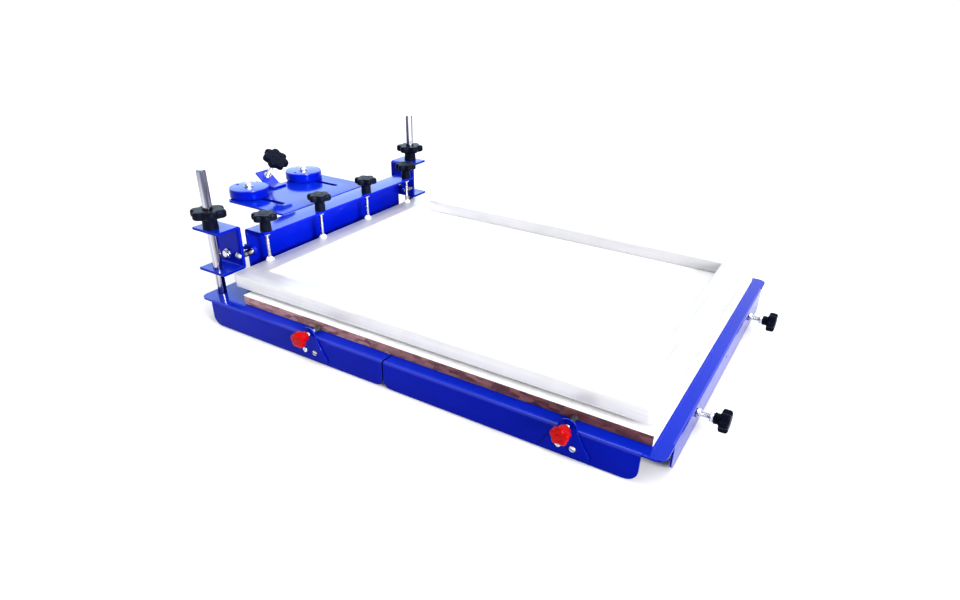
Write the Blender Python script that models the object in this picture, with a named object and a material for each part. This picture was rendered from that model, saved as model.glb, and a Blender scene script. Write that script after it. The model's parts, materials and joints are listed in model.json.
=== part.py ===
"""Tabletop one-station screen printing press: folded base, registration screws, lift posts, hinged clamp.

Machine coordinates, in millimetres: x=0 on the centre line, y=0 at the middle of the board (+Y to the hinge),
z=0 on the top of the steel base. The whole machine is moved by SHIFT at the end, so that the origin is
under its middle.
"""
import math

import bmesh
import bpy
from mathutils import Matrix, Vector
from mathutils.geometry import tessellate_polygon

MM = 0.001

# Base: two folded sheet panels that meet at a seam.
BASE_HALF_W = 242.4
BASE_FRONT = -293.4
BASE_REAR = 343.0
SEAM_Y = 33.5
SEAM_GAP = 2.4
SEAM_CORNER_R = 9.0
SHEET = 2.0
FLANGE_H = 33.8
TOP_CORNER_R = 23.0
FLANGE_END = 23.0
FLANGE_CORNER_R = 13.0
FOOT_BOTTOM = -35.5

# Board.
BOARD_HALF_W = 225.0
BOARD_HALF_L = 276.0
BOARD_T = 12.6

# Registration.
FINE_SCREW_R = 3.0
FRONT_X = 130.0
FRONT_Z = -10.5
RED_Y = (143.0, -196.5)
RED_Z = 3.6
RED_SCREW_R = 2.5
RED_PLATE_T = 2.0
RED_PLATE_FOOT = -29.5
STUD_X = 100.0
STUD_Y = -200.0
BOARD_TRAVEL_X = 5.0
BOARD_TRAVEL_Y = 8.0

# Posts and brackets.
POST_X = 217.0
POST_Y = 328.4
POST_R = 6.0
POST_TOP = 168.0
BRACKET_IN = 190.6
BRACKET_WEB = 4.4
BRACKET_OUT = 228.4
BRACKET_Y = (304.2, 351.4)
BRACKET_Z = (32.2, 92.0)
BRACKET_T = 3.5

# Screen.
SCREEN_HALF_W = 218.7
SCREEN_Y = (-271.0, 299.0)
SCREEN_Z = (18.0, 35.4)
RAIL_W = 34.0
SCREEN_CORNER_R = 7.0
MESH_Z = (17.5, 17.7)

# Clamp beam.
PIVOT_Y = 309.5
PIVOT_Z = 50.0
BEAM_HALF = 170.0
BEAM_FRONT = 285.5
BEAM_REAR = 323.0
BEAM_TOP = 78.0
BEAM_BOTTOM = 14.6
BEAM_T = 3.0
EAR_OUT = 173.6
STOP_Y = 332.0
STOP_Z = 49.0
CLAMP_STEP = 105.0
CLAMP_Y = 294.0
CLAMP_R = 2.5

# Counterweight plate, weights and tilt screw.
PLATE_HALF = 94.0
PLATE_Y = (323.3, 447.0)
PLATE_TOP = 76.5
PLATE_T = 3.0
SLOT_X = 59.0
SLOT_Y = (366.0, 438.0)
WEIGHT_Y = 435.0
WEIGHT_R = 29.7
WEIGHT_T = 14.5
TILT_DEG = 51.6
TILT_Y = 460.0
TILT_Z = 87.2

SHIFT = Vector((11.5, -73.6, 35.5))

MATERIALS = {}


def material(name, color, metallic, roughness):
    """One Principled material per name, made once."""
    if name in MATERIALS:
        return MATERIALS[name]
    made = bpy.data.materials.new(name)
    made.use_nodes = True
    shader = made.node_tree.nodes["Principled BSDF"]
    shader.inputs["Base Color"].default_value = (*color, 1.0)
    shader.inputs["Metallic"].default_value = metallic
    shader.inputs["Roughness"].default_value = roughness
    made.diffuse_color = (*color, 1.0)
    MATERIALS[name] = made
    return made


def blue():
    return material("blue_paint", (0.02, 0.06, 0.62), 0.0, 0.28)


def steel():
    return material("bright_steel", (0.72, 0.73, 0.75), 1.0, 0.22)


def black():
    return material("black_plastic", (0.02, 0.02, 0.022), 0.0, 0.35)


def add(name, mesh, mat, smooth=False, origin=(0.0, 0.0, 0.0)):
    """Links a bmesh as a named object, its origin at a machine point."""
    offset = Vector(origin)
    bmesh.ops.translate(mesh, verts=mesh.verts, vec=-offset)
    bmesh.ops.scale(mesh, verts=mesh.verts, vec=(MM, MM, MM))
    bmesh.ops.recalc_face_normals(mesh, faces=mesh.faces)
    data = bpy.data.meshes.new(name)
    mesh.to_mesh(data)
    mesh.free()
    data.materials.append(mat)
    made = bpy.data.objects.new(name, data)
    made.location = (offset + SHIFT) * MM
    bpy.context.collection.objects.link(made)
    if smooth:
        data.shade_smooth()
        data.set_sharp_from_angle(angle=math.radians(35.0))
    return made


def cutter(owner, mesh, name, operation="DIFFERENCE"):
    """Cuts a bmesh from an object, or joins it, with an exact Boolean."""
    tool = add(name, mesh, owner.data.materials[0])
    tool.hide_render = True
    tool.display_type = "WIRE"
    boolean = owner.modifiers.new(name, "BOOLEAN")
    boolean.operation = operation
    boolean.solver = "EXACT"
    boolean.object = tool
    return tool


def box(low, high):
    """A bmesh box between two corners."""
    mesh = bmesh.new()
    size = [high[i] - low[i] for i in range(3)]
    middle = [(high[i] + low[i]) / 2.0 for i in range(3)]
    bmesh.ops.create_cube(mesh, size=1.0, matrix=Matrix.Translation(middle) @ Matrix.Diagonal((*size, 1.0)))
    return mesh


def place(axis, along, u, v):
    """A machine point from a distance along an axis and two others across it, in X, Y, Z order."""
    if axis == "x":
        return (along, u, v)
    if axis == "y":
        return (u, along, v)
    return (u, v, along)


def prism(outline, axis, low, high, holes=()):
    """A plate: an outline in the plane across the axis, with holes, between two distances along the axis."""
    mesh = bmesh.new()
    loops = [outline, *holes]
    rings = []
    for level in (low, high):
        rings.append([[mesh.verts.new(place(axis, level, u, v)) for u, v in loop] for loop in loops])
    flat = [[Vector((u, v, 0.0)) for u, v in loop] for loop in loops]
    triangles = tessellate_polygon(flat)
    for ring in rings:
        joined = [vert for loop in ring for vert in loop]
        for triangle in triangles:
            mesh.faces.new([joined[i] for i in triangle])
    for bottom, top in zip(*rings):
        count = len(bottom)
        for i in range(count):
            j = (i + 1) % count
            mesh.faces.new((bottom[i], bottom[j], top[j], top[i]))
    return mesh


def circle(u, v, radius, count=24, start=0.0):
    """Points round a circle."""
    turn = 2.0 * math.pi / count
    angles = [start + i * turn for i in range(count)]
    return [(u + radius * math.cos(angle), v + radius * math.sin(angle)) for angle in angles]


def slot(u, low, high, radius, count=8):
    """A slot's outline that runs along v."""
    points = []
    for i in range(count + 1):
        angle = math.pi * i / count
        points.append((u + radius * math.cos(angle), high + radius * math.sin(angle)))
    for i in range(count + 1):
        angle = math.pi + math.pi * i / count
        points.append((u + radius * math.cos(angle), low + radius * math.sin(angle)))
    return points


def rounded(low, high, radii, count=6):
    """A rectangle's outline with a radius at each corner, anticlockwise from the low one; 0 is sharp."""
    corners = [(low[0], low[1]), (high[0], low[1]), (high[0], high[1]), (low[0], high[1])]
    points = []
    for quarter, ((u, v), radius) in enumerate(zip(corners, radii)):
        if radius == 0.0:
            points.append((u, v))
            continue
        centre_u = u + radius if u == low[0] else u - radius
        centre_v = v + radius if v == low[1] else v - radius
        for i in range(count + 1):
            angle = math.radians(180.0 + 90.0 * (quarter + i / count))
            points.append((centre_u + radius * math.cos(angle), centre_v + radius * math.sin(angle)))
    return points


def lathe(profile, count=24, lobes=0, closed=False):
    """A turned solid about Z from (radius, z, lobe depth) points, bottom to top; closed makes it a ring."""
    mesh = bmesh.new()
    rings = []
    for radius, z, depth in profile:
        if radius == 0.0:
            rings.append([mesh.verts.new((0.0, 0.0, z))])
            continue
        ring = []
        for i in range(count):
            angle = 2.0 * math.pi * i / count
            reach = radius - depth * (0.5 - 0.5 * math.cos(lobes * angle)) ** 1.5
            ring.append(mesh.verts.new((reach * math.cos(angle), reach * math.sin(angle), z)))
        rings.append(ring)
    pairs = list(zip(rings, rings[1:]))
    if closed:
        pairs.append((rings[-1], rings[0]))
    for lower, upper in pairs:
        for i in range(count):
            j = (i + 1) % count
            if len(lower) == 1:
                mesh.faces.new((lower[0], upper[i], upper[j]))
            elif len(upper) == 1:
                mesh.faces.new((lower[i], upper[0], lower[j]))
            else:
                mesh.faces.new((lower[i], lower[j], upper[j], upper[i]))
    return mesh


def aim(mesh, point, direction):
    """Turns a solid made about Z so that Z points along a direction, then moves it to a point."""
    turn = Vector((0.0, 0.0, 1.0)).rotation_difference(Vector(direction)).to_matrix().to_4x4()
    bmesh.ops.transform(mesh, verts=mesh.verts, matrix=Matrix.Translation(point) @ turn)
    return mesh


def rod(radius, low, high, chamfer=0.6, count=20):
    """A round bar about Z with chamfered ends."""
    return lathe(
        [
            (0.0, low, 0.0),
            (radius - chamfer, low, 0.0),
            (radius, low + chamfer, 0.0),
            (radius, high - chamfer, 0.0),
            (radius - chamfer, high, 0.0),
            (0.0, high, 0.0),
        ],
        count,
    )


def bolt(head_r, head_h, shank_r, length, count=20):
    """A bolt about Z: its head from 0 down to -head_h, its shank up to length."""
    return lathe(
        [
            (0.0, -head_h, 0.0),
            (head_r - 1.0, -head_h, 0.0),
            (head_r, -head_h + 1.2, 0.0),
            (head_r, 0.0, 0.0),
            (shank_r, 0.0, 0.0),
            (shank_r, length - 0.6, 0.0),
            (shank_r - 0.6, length, 0.0),
            (0.0, length, 0.0),
        ],
        count,
    )


def star_knob(radius, head, hub_r, hub, bore_r, bore, lobes=6, depth=0.24, through=False):
    """A star knob about Z: its hub rises from 0, its lobed head above, and a bore enters from below."""
    dent = radius * depth
    top = hub + head
    outer = [
        (bore_r, 0.0, 0.0),
        (hub_r, 0.0, 0.0),
        (hub_r, hub, 0.0),
        (radius - 1.2, hub, dent),
        (radius, hub + head * 0.25, dent),
        (radius, top - head * 0.3, dent),
        (radius - 1.6, top, dent),
    ]
    if through:
        return lathe([*outer, (bore_r, top, 0.0)], lobes * 5, lobes, closed=True)
    inner = [(0.0, bore, 0.0), (bore_r, bore, 0.0)]
    return lathe([*inner, *outer, (0.0, top + 0.4, 0.0)], lobes * 5, lobes)


def side_flange(y_low, y_high, round_low, round_high):
    """A side flange's outline in Y and Z, with the larger radius at its free end."""
    low_radius = FLANGE_CORNER_R if round_low else SEAM_CORNER_R
    high_radius = FLANGE_CORNER_R if round_high else SEAM_CORNER_R
    return rounded((y_low, -FLANGE_H), (y_high, 0.0), [low_radius, high_radius, 0.0, 0.0])


def base_panel(name, y_low, y_high, end):
    """One half of the base: a top sheet with a flange on each side and one across its free end."""
    front = end == "front"
    corner = TOP_CORNER_R
    radii = [corner, corner, 0.0, 0.0] if front else [0.0, 0.0, corner, corner]
    outline = rounded((-BASE_HALF_W, y_low), (BASE_HALF_W, y_high), radii)
    holes = []
    if front:
        for x in (-STUD_X, STUD_X):
            holes.append(slot(x, STUD_Y - BOARD_TRAVEL_Y - 0.8, STUD_Y + BOARD_TRAVEL_Y + 0.8, 6.0))
    else:
        holes += [circle(x, POST_Y, POST_R + 0.2) for x in (-POST_X, POST_X)]
    panel = add(name, prism(outline, "z", -SHEET, 0.0, holes), blue())
    flange_low = y_low + FLANGE_END if front else y_low
    flange_high = y_high if front else y_high - FLANGE_END
    for side in (-1, 1):
        reach = sorted((side * BASE_HALF_W, side * (BASE_HALF_W - SHEET)))
        flange = prism(side_flange(flange_low, flange_high, front, not front), "x", *reach)
        cutter(panel, flange, f"{name}_side_{side + 1}", "UNION")
    end_reach = BASE_HALF_W - 31.0
    end_radii = [FLANGE_CORNER_R, FLANGE_CORNER_R, 0.0, 0.0]
    across = rounded((-end_reach, -FLANGE_H), (end_reach, 0.0), end_radii)
    bores = [circle(x, FRONT_Z, FINE_SCREW_R + 0.3, 16) for x in (-FRONT_X, FRONT_X)] if front else []
    reach = (y_low, y_low + SHEET) if front else (y_high - SHEET, y_high)
    cutter(panel, prism(across, "y", *reach, bores), f"{name}_end", "UNION")
    return panel


def base():
    """The two panels, the plate that joins them, and the feet."""
    base_panel("base_front_panel", BASE_FRONT, SEAM_Y - SEAM_GAP / 2.0, "front")
    base_panel("base_rear_panel", SEAM_Y + SEAM_GAP / 2.0, BASE_REAR, "rear")
    under = -SHEET - 0.3
    plate = rounded((-230.0, SEAM_Y - 40.0), (230.0, SEAM_Y + 40.0), [6.0] * 4, 3)
    add("base_joining_plate", prism(plate, "z", under - 4.0, under), blue())
    rubber = material("foot_rubber", (0.03, 0.03, 0.03), 0.0, 0.8)
    top = -SHEET - 0.3
    height = top - FOOT_BOTTOM
    for x_name, x in (("left", -212.0), ("right", 212.0)):
        for y_name, y in (("front", -250.0), ("rear", 288.0)):
            side = [(9.0, 0.0, 0.0), (10.0, 1.2, 0.0), (13.0, height, 0.0)]
            foot = lathe([(0.0, 0.0, 0.0), *side, (0.0, height, 0.0)], 20)
            bmesh.ops.translate(foot, verts=foot.verts, vec=(x, y, FOOT_BOTTOM))
            add(f"foot_{y_name}_{x_name}", foot, rubber, True, (x, y, FOOT_BOTTOM))


def board():
    """The laminated board, with the two blind slots that the carriage studs ride in."""
    laminate = material("white_laminate", (0.9, 0.9, 0.92), 0.0, 0.25)
    outline = rounded((-BOARD_HALF_W, -BOARD_HALF_L), (BOARD_HALF_W, BOARD_HALF_L), [2.0] * 4, 3)
    made = add("board", prism(outline, "z", 0.3, BOARD_T), laminate)
    reach = BOARD_TRAVEL_X + 0.4
    for i, x in enumerate((-STUD_X, STUD_X)):
        grooves = [(v, u) for u, v in slot(STUD_Y, x - reach, x + reach, 5.3)]
        cutter(made, prism(grooves[::-1], "z", -4.0, 8.5), f"board_slot_{i}")


def carriage():
    """The bar under the base that the front screws move, with studs up into the board, and its keepers."""
    under = -SHEET - 0.3
    bar_top = under
    bar_box = box((-150.0, STUD_Y - 15.0, bar_top - 4.0), (150.0, STUD_Y + 15.0, bar_top))
    bar = add("board_carriage", bar_box, steel())
    for i, x in enumerate((-STUD_X, STUD_X)):
        stud = rod(5.0, bar_top - 3.0, 8.0, 0.5, 20)
        bmesh.ops.translate(stud, verts=stud.verts, vec=(x, STUD_Y, 0.0))
        cutter(bar, stud, f"carriage_stud_{i}", "UNION")
    for i, x in enumerate((-FRONT_X, FRONT_X)):
        tab = prism(
            rounded((x - 9.0, -21.0), (x + 9.0, bar_top - 1.0), [5.0, 5.0, 0.0, 0.0], 3),
            "y",
            STUD_Y - 14.0,
            STUD_Y - 11.0,
            [circle(x, FRONT_Z, FINE_SCREW_R + 0.2, 16)],
        )
        cutter(bar, tab, f"carriage_tab_{i}", "UNION")
    for side, x in (("left", -60.0), ("right", 60.0)):
        low, high = STUD_Y - 34.0, STUD_Y + 34.0
        strap = [
            (low, under),
            (low, under - 2.0),
            (low + 8.0, under - 2.0),
            (low + 8.0, under - 6.6),
            (high - 8.0, under - 6.6),
            (high - 8.0, under - 2.0),
            (high, under - 2.0),
            (high, under),
            (high - 10.0, under),
            (high - 10.0, under - 4.4),
            (low + 10.0, under - 4.4),
            (low + 10.0, under),
        ]
        add(f"carriage_keeper_{side}", prism(strap, "x", x - 12.0, x + 12.0), steel())


def front_screws():
    """The two fine screws through the front flange, each with its knob."""
    for side, x in (("left", -FRONT_X), ("right", FRONT_X)):
        point = (x, BASE_FRONT - 18.0, FRONT_Z)
        length = STUD_Y - 8.0 - point[1]
        profile = [
            (0.0, -12.0, 0.0),
            (FINE_SCREW_R - 0.5, -12.0, 0.0),
            (FINE_SCREW_R, -11.5, 0.0),
            (FINE_SCREW_R, 0.0, 0.0),
            (5.5, 0.0, 0.0),
            (5.5, 4.0, 0.0),
            (FINE_SCREW_R, 4.0, 0.0),
            (FINE_SCREW_R, length - 0.5, 0.0),
            (FINE_SCREW_R - 0.5, length, 0.0),
            (0.0, length, 0.0),
        ]
        add(f"front_screw_{side}", aim(lathe(profile, 16), point, (0.0, 1.0, 0.0)), steel(), True, point)
        knob = star_knob(12.5, 11.0, 6.2, 5.0, FINE_SCREW_R + 0.25, 12.4)
        back = (x, point[1] - 0.3, FRONT_Z)
        add(f"front_knob_{side}", aim(knob, back, (0.0, -1.0, 0.0)), black(), True, back)


def red_plate_outline(y):
    """A plate's outline: a dome over the screw, and sides that flare out towards the plate's foot."""
    flare = []
    for i in range(6):
        share = (5 - i) / 5.0
        flare.append((10.0 + 16.0 * share**1.3, RED_Z - (RED_Z - RED_PLATE_FOOT - 4.0) * share))
    right = [(26.0, RED_PLATE_FOOT), *flare]
    turns = [i * math.pi / 12.0 for i in range(1, 12)]
    dome = [(10.0 * math.cos(turn), RED_Z + 8.7 * math.sin(turn)) for turn in turns]
    left = [(-u, v) for u, v in reversed(right)]
    return [(y + u, v) for u, v in [*right, *dome, *left]]


def red_screws():
    """The two side screws in their flared plates, each with its red knob."""
    red = material("red_plastic", (0.75, 0.03, 0.03), 0.0, 0.35)
    outer = -BASE_HALF_W - 0.3
    for name, y in zip(("rear", "front"), RED_Y):
        bores = [
            circle(y, RED_Z, RED_SCREW_R + 0.2, 16),
            circle(y - 7.8, -20.0, 2.1, 12),
            circle(y + 7.8, -20.0, 2.1, 12),
        ]
        plate = prism(red_plate_outline(y), "x", outer - RED_PLATE_T, outer, bores)
        add(f"red_plate_{name}", plate, blue())
        point = (-BOARD_HALF_W - 0.3, y, RED_Z)
        length = 36.0
        profile = [
            (0.0, 0.0, 0.0),
            (3.2, 0.0, 0.0),
            (3.2, 2.6, 0.0),
            (RED_SCREW_R, 2.8, 0.0),
            (RED_SCREW_R, length - 0.5, 0.0),
            (RED_SCREW_R - 0.5, length, 0.0),
            (0.0, length, 0.0),
        ]
        add(f"red_screw_{name}", aim(lathe(profile, 16), point, (-1.0, 0.0, 0.0)), steel(), True, point)
        knob = star_knob(10.4, 9.0, 6.0, 6.0, RED_SCREW_R + 0.25, 11.6, 5)
        back = (-250.0, y, RED_Z)
        add(f"red_knob_{name}", aim(knob, back, (-1.0, 0.0, 0.0)), red, True, back)


def posts():
    """The two lift posts with the nuts that hold them under the base."""
    chrome = material("chrome", (0.85, 0.86, 0.88), 1.0, 0.08)
    for side, x in (("left", -POST_X), ("right", POST_X)):
        foot = (x, POST_Y, 0.0)
        bar = rod(POST_R, -16.0, POST_TOP, 1.0, 32)
        bmesh.ops.translate(bar, verts=bar.verts, vec=foot)
        add(f"post_{side}", bar, chrome, True, foot)
        bore = circle(x, POST_Y, POST_R + 0.1, 32)
        nut = prism(circle(x, POST_Y, 11.0, 6), "z", -12.6, -SHEET - 0.3, [bore])
        add(f"post_nut_{side}", nut, steel(), False, foot)


def lift_bracket(name, side):
    """A folded bracket that rides on a post: two flanges, and the web that carries the pivot."""
    inner, web, outer = side * BRACKET_IN, side * (BRACKET_IN + BRACKET_WEB), side * BRACKET_OUT
    low, high = BRACKET_Z
    outline = [
        (inner, low),
        (outer, low),
        (outer, low + BRACKET_T),
        (web, low + BRACKET_T),
        (web, high - BRACKET_T),
        (outer, high - BRACKET_T),
        (outer, high),
        (inner, high),
    ]
    x = side * POST_X
    made = add(name, prism(outline, "y", *BRACKET_Y), blue(), False, (x, POST_Y, low))
    shaft = rod(POST_R + 0.3, low - 10.0, high + 10.0, 0.5, 32)
    bmesh.ops.translate(shaft, verts=shaft.verts, vec=(x, POST_Y, 0.0))
    cutter(made, shaft, f"{name}_post_bore")
    for i, (y, z, radius) in enumerate(((PIVOT_Y, PIVOT_Z, 4.3), (STOP_Y, STOP_Z, 4.3))):
        hole = aim(rod(radius, -20.0, 20.0, 0.5, 24), (inner, y, z), (1.0, 0.0, 0.0))
        cutter(made, hole, f"{name}_hole_{i}")


def lifts():
    """Both lift brackets with their knobs, rings, pivot bolts and stop bolts."""
    for name, side in (("left", -1), ("right", 1)):
        lift_bracket(f"lift_bracket_{name}", side)
        x = side * POST_X
        top = (x, POST_Y, BRACKET_Z[1] + 0.3)
        knob = star_knob(23.0, 10.0, 10.0, 15.0, POST_R + 0.35, 0.0, 6, 0.24, True)
        bmesh.ops.translate(knob, verts=knob.verts, vec=top)
        add(f"post_knob_{name}", knob, black(), True, top)
        under = BRACKET_Z[1] - BRACKET_T - 0.3
        bore = circle(x, POST_Y, POST_R + 0.35, 32)
        ring = prism(circle(x, POST_Y, 9.0, 24), "z", under - 2.0, under, [bore])
        add(f"post_ring_{name}", ring, steel(), True)
        face = side * (BRACKET_IN + BRACKET_WEB + 0.3)
        inward = (-side, 0.0, 0.0)
        spacer_low = BRACKET_WEB + 0.6
        spacer_high = abs(face) - EAR_OUT - 0.3
        pivot = [
            (0.0, -4.5, 0.0),
            (4.6, -4.5, 0.0),
            (5.6, -3.3, 0.0),
            (5.6, 0.0, 0.0),
            (4.04, 0.0, 0.0),
            (4.04, spacer_low, 0.0),
            (6.5, spacer_low, 0.0),
            (6.5, spacer_high, 0.0),
            (4.04, spacer_high, 0.0),
            (4.04, spacer_high + 7.0, 0.0),
            (3.4, spacer_high + 7.6, 0.0),
            (0.0, spacer_high + 7.6, 0.0),
        ]
        hinge = (face, PIVOT_Y, PIVOT_Z)
        add(f"pivot_bolt_{name}", aim(lathe(pivot, 32), hinge, inward), steel(), True, hinge)
        rest = (face, STOP_Y, STOP_Z)
        stop = bolt(7.0, 5.0, 4.0, abs(face) - BEAM_HALF - 0.6)
        add(f"stop_bolt_{name}", aim(stop, rest, inward), steel(), True, rest)


def clamp_beam():
    """The channel that grips the screen's rear rail, open to the front, with an ear at each end."""
    outline = [
        (BEAM_FRONT, BEAM_BOTTOM),
        (BEAM_REAR, BEAM_BOTTOM),
        (BEAM_REAR, BEAM_TOP),
        (BEAM_FRONT, BEAM_TOP),
        (BEAM_FRONT, BEAM_TOP - BEAM_T),
        (BEAM_REAR - BEAM_T, BEAM_TOP - BEAM_T),
        (BEAM_REAR - BEAM_T, BEAM_BOTTOM + BEAM_T),
        (BEAM_FRONT, BEAM_BOTTOM + BEAM_T),
    ]
    axis = (0.0, PIVOT_Y, PIVOT_Z)
    beam = add("clamp_beam", prism(outline, "x", -BEAM_HALF, BEAM_HALF), blue(), False, axis)
    ear = [
        (297.0, 40.0),
        (BEAM_REAR - 2.0, 30.0),
        (341.0, 30.0),
        (341.0, STOP_Z - 4.4),
        (326.0, STOP_Z - 4.4),
        (322.5, STOP_Z),
        (322.5, 60.0),
        (316.0, 68.0),
        (300.0, 68.0),
        (297.0, 62.0),
    ]
    for i, side in enumerate((-1, 1)):
        reach = sorted((side * (BEAM_HALF - 1.0), side * EAR_OUT))
        bore = [circle(PIVOT_Y, PIVOT_Z, 4.13, 32)]
        cutter(beam, prism(ear, "x", *reach, bore), f"beam_ear_{i}", "UNION")
    for i in range(4):
        x = (i - 1.5) * CLAMP_STEP
        hole = rod(CLAMP_R + 0.3, BEAM_TOP - 12.0, BEAM_TOP + 12.0, 0.4, 20)
        bmesh.ops.translate(hole, verts=hole.verts, vec=(x, CLAMP_Y, 0.0))
        cutter(beam, hole, f"beam_hole_{i}")


def clamp_screws():
    """Four star screws in the beam's top flange, each with a swivel foot on the rail."""
    white = material("white_nylon", (0.9, 0.9, 0.9), 0.0, 0.45)
    rail_top = SCREEN_Z[1] + 0.3
    for i in range(4):
        x = (i - 1.5) * CLAMP_STEP
        foot_z = rail_top
        foot = lathe(
            [
                (0.0, 0.0, 0.0),
                (5.6, 0.0, 0.0),
                (5.6, 1.6, 0.0),
                (4.2, 4.4, 0.0),
                (0.0, 4.4, 0.0),
            ],
            20,
        )
        bmesh.ops.translate(foot, verts=foot.verts, vec=(x, CLAMP_Y, foot_z))
        add(f"clamp_foot_{i + 1}", foot, white, True, (x, CLAMP_Y, foot_z))
        screw_low = foot_z + 4.7
        screw_top = BEAM_TOP + 15.0
        screw = rod(CLAMP_R, screw_low, screw_top, 0.4, 16)
        bmesh.ops.translate(screw, verts=screw.verts, vec=(x, CLAMP_Y, 0.0))
        add(f"clamp_screw_{i + 1}", screw, steel(), True, (x, CLAMP_Y, screw_low))
        knob_low = BEAM_TOP + 0.4
        knob = star_knob(17.3, 9.0, 7.6, 14.5, CLAMP_R + 0.3, 15.0)
        bmesh.ops.translate(knob, verts=knob.verts, vec=(x, CLAMP_Y, knob_low))
        add(f"clamp_knob_{i + 1}", knob, black(), True, (x, CLAMP_Y, knob_low))


def screen():
    """The welded tube frame and the mesh stretched across its underside."""
    tube = material("frame_aluminium", (0.82, 0.83, 0.86), 1.0, 0.35)
    y_low, y_high = SCREEN_Y
    outer = rounded((-SCREEN_HALF_W, y_low), (SCREEN_HALF_W, y_high), [SCREEN_CORNER_R] * 4, 5)
    inner = rounded(
        (-SCREEN_HALF_W + RAIL_W, y_low + RAIL_W), (SCREEN_HALF_W - RAIL_W, y_high - RAIL_W), [1.0] * 4, 2
    )
    frame = add("screen_frame", prism(outer, "z", *SCREEN_Z, [inner]), tube)
    soften = frame.modifiers.new("soften", "BEVEL")
    soften.width = 0.0016
    soften.segments = 2
    soften.limit_method = "ANGLE"
    soften.angle_limit = math.radians(60.0)
    cloth = material("mesh_cloth", (0.95, 0.95, 0.96), 0.0, 0.6)
    glued = 22.0
    sheet = rounded(
        (-SCREEN_HALF_W + glued / 2.0, y_low + glued / 2.0),
        (SCREEN_HALF_W - glued / 2.0, BEAM_FRONT - 4.0),
        [2.0] * 4,
        2,
    )
    add("screen_mesh", prism(sheet, "z", *MESH_Z), cloth)


def weights():
    """The slotted plate behind the beam, with a round weight bolted in each slot."""
    axis = (0.0, PIVOT_Y, PIVOT_Z)
    y_low, y_high = PLATE_Y
    outline = rounded((-PLATE_HALF, y_low), (PLATE_HALF, y_high), [0.0, 0.0, 8.0, 8.0])
    slots = [slot(x, SLOT_Y[0], SLOT_Y[1], 4.2) for x in (-SLOT_X, SLOT_X)]
    sheet = prism(outline, "z", PLATE_TOP - PLATE_T, PLATE_TOP, slots)
    plate = add("weight_plate", sheet, blue(), False, axis)
    lip = box((-PLATE_HALF, y_low, 44.0), (PLATE_HALF, y_low + PLATE_T, PLATE_TOP - 1.0))
    cutter(plate, lip, "weight_plate_lip", "UNION")
    for side, x in (("left", -SLOT_X), ("right", SLOT_X)):
        low = PLATE_TOP + 0.3
        high = low + WEIGHT_T
        centre = (x, WEIGHT_Y, low)
        profile = [
            (4.3, 0.0, 0.0),
            (WEIGHT_R - 1.5, 0.0, 0.0),
            (WEIGHT_R, 1.5, 0.0),
            (WEIGHT_R, WEIGHT_T - 1.5, 0.0),
            (WEIGHT_R - 1.5, WEIGHT_T, 0.0),
            (4.3, WEIGHT_T, 0.0),
        ]
        disc = lathe(profile, 40, closed=True)
        bmesh.ops.translate(disc, verts=disc.verts, vec=centre)
        add(f"weight_{side}", disc, blue(), True, centre)
        under = PLATE_TOP - PLATE_T - 0.3
        stem = bolt(8.0, 3.0, 3.9, high + 6.0 - under)
        bmesh.ops.translate(stem, verts=stem.verts, vec=(x, WEIGHT_Y, under))
        add(f"weight_bolt_{side}", stem, steel(), True, (x, WEIGHT_Y, under))


def tilt_stop():
    """The inclined strip at the plate's rear edge, and the star screw that props up the raised screen."""
    slope = math.radians(90.0 - TILT_DEG)
    along = Vector((0.0, math.cos(slope), math.sin(slope)))
    normal = Vector((0.0, -math.sin(slope), math.cos(slope)))
    centre = Vector((0.0, TILT_Y, TILT_Z))
    thick = 2.5
    end = centre + along * 13.0
    bend = centre - along * ((centre.z - PLATE_TOP - 0.3) / along.z)
    inner_y = bend.y - thick * math.tan(slope / 2.0)
    points = [
        (430.0, PLATE_TOP + 0.3),
        (bend.y, bend.z),
        (end.y, end.z),
        (end.y + normal.y * thick, end.z + normal.z * thick),
        (inner_y, bend.z + thick),
        (430.0, PLATE_TOP + 0.3 + thick),
    ]
    strip = add("tilt_bracket", prism(points, "x", -13.0, 13.0), blue(), False, tuple(centre))
    hole = aim(rod(3.5, -15.0, 15.0, 0.4, 20), centre, normal)
    cutter(strip, hole, "tilt_bracket_hole")
    nut = lathe([(3.15, 0.0, 0.0), (6.0, 0.0, 0.0), (6.0, 5.0, 0.0), (3.15, 5.0, 0.0)], 20, closed=True)
    add("tilt_nut", aim(nut, centre + normal * (thick + 0.3), normal), steel(), True, tuple(centre))
    low = -19.5
    profile = [
        (0.0, low, 0.0),
        (4.0, low, 0.0),
        (4.8, low + 1.0, 0.0),
        (4.8, low + 4.0, 0.0),
        (3.0, low + 6.0, 0.0),
        (3.0, 44.5, 0.0),
        (2.5, 45.0, 0.0),
        (0.0, 45.0, 0.0),
    ]
    add("tilt_screw", aim(lathe(profile, 20), centre, normal), steel(), True, tuple(centre))
    knob = star_knob(20.5, 10.0, 8.5, 7.0, 3.3, 13.5, 7)
    back = centre + normal * 32.0
    add("tilt_knob", aim(knob, back, normal), black(), True, tuple(back))


def main():
    for old in list(bpy.data.objects):
        bpy.data.objects.remove(old, do_unlink=True)
    base()
    board()
    carriage()
    front_screws()
    red_screws()
    posts()
    lifts()
    clamp_beam()
    clamp_screws()
    screen()
    weights()
    tilt_stop()


main()
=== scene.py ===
"""Looks of the tabletop screen printing press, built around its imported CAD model.

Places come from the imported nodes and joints. Lengths are in metres, and MM turns millimetres into metres.
"""
import json
import math

import bmesh
import bpy
from mathutils import Matrix, Vector
from mathutils.geometry import tessellate_polygon


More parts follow.
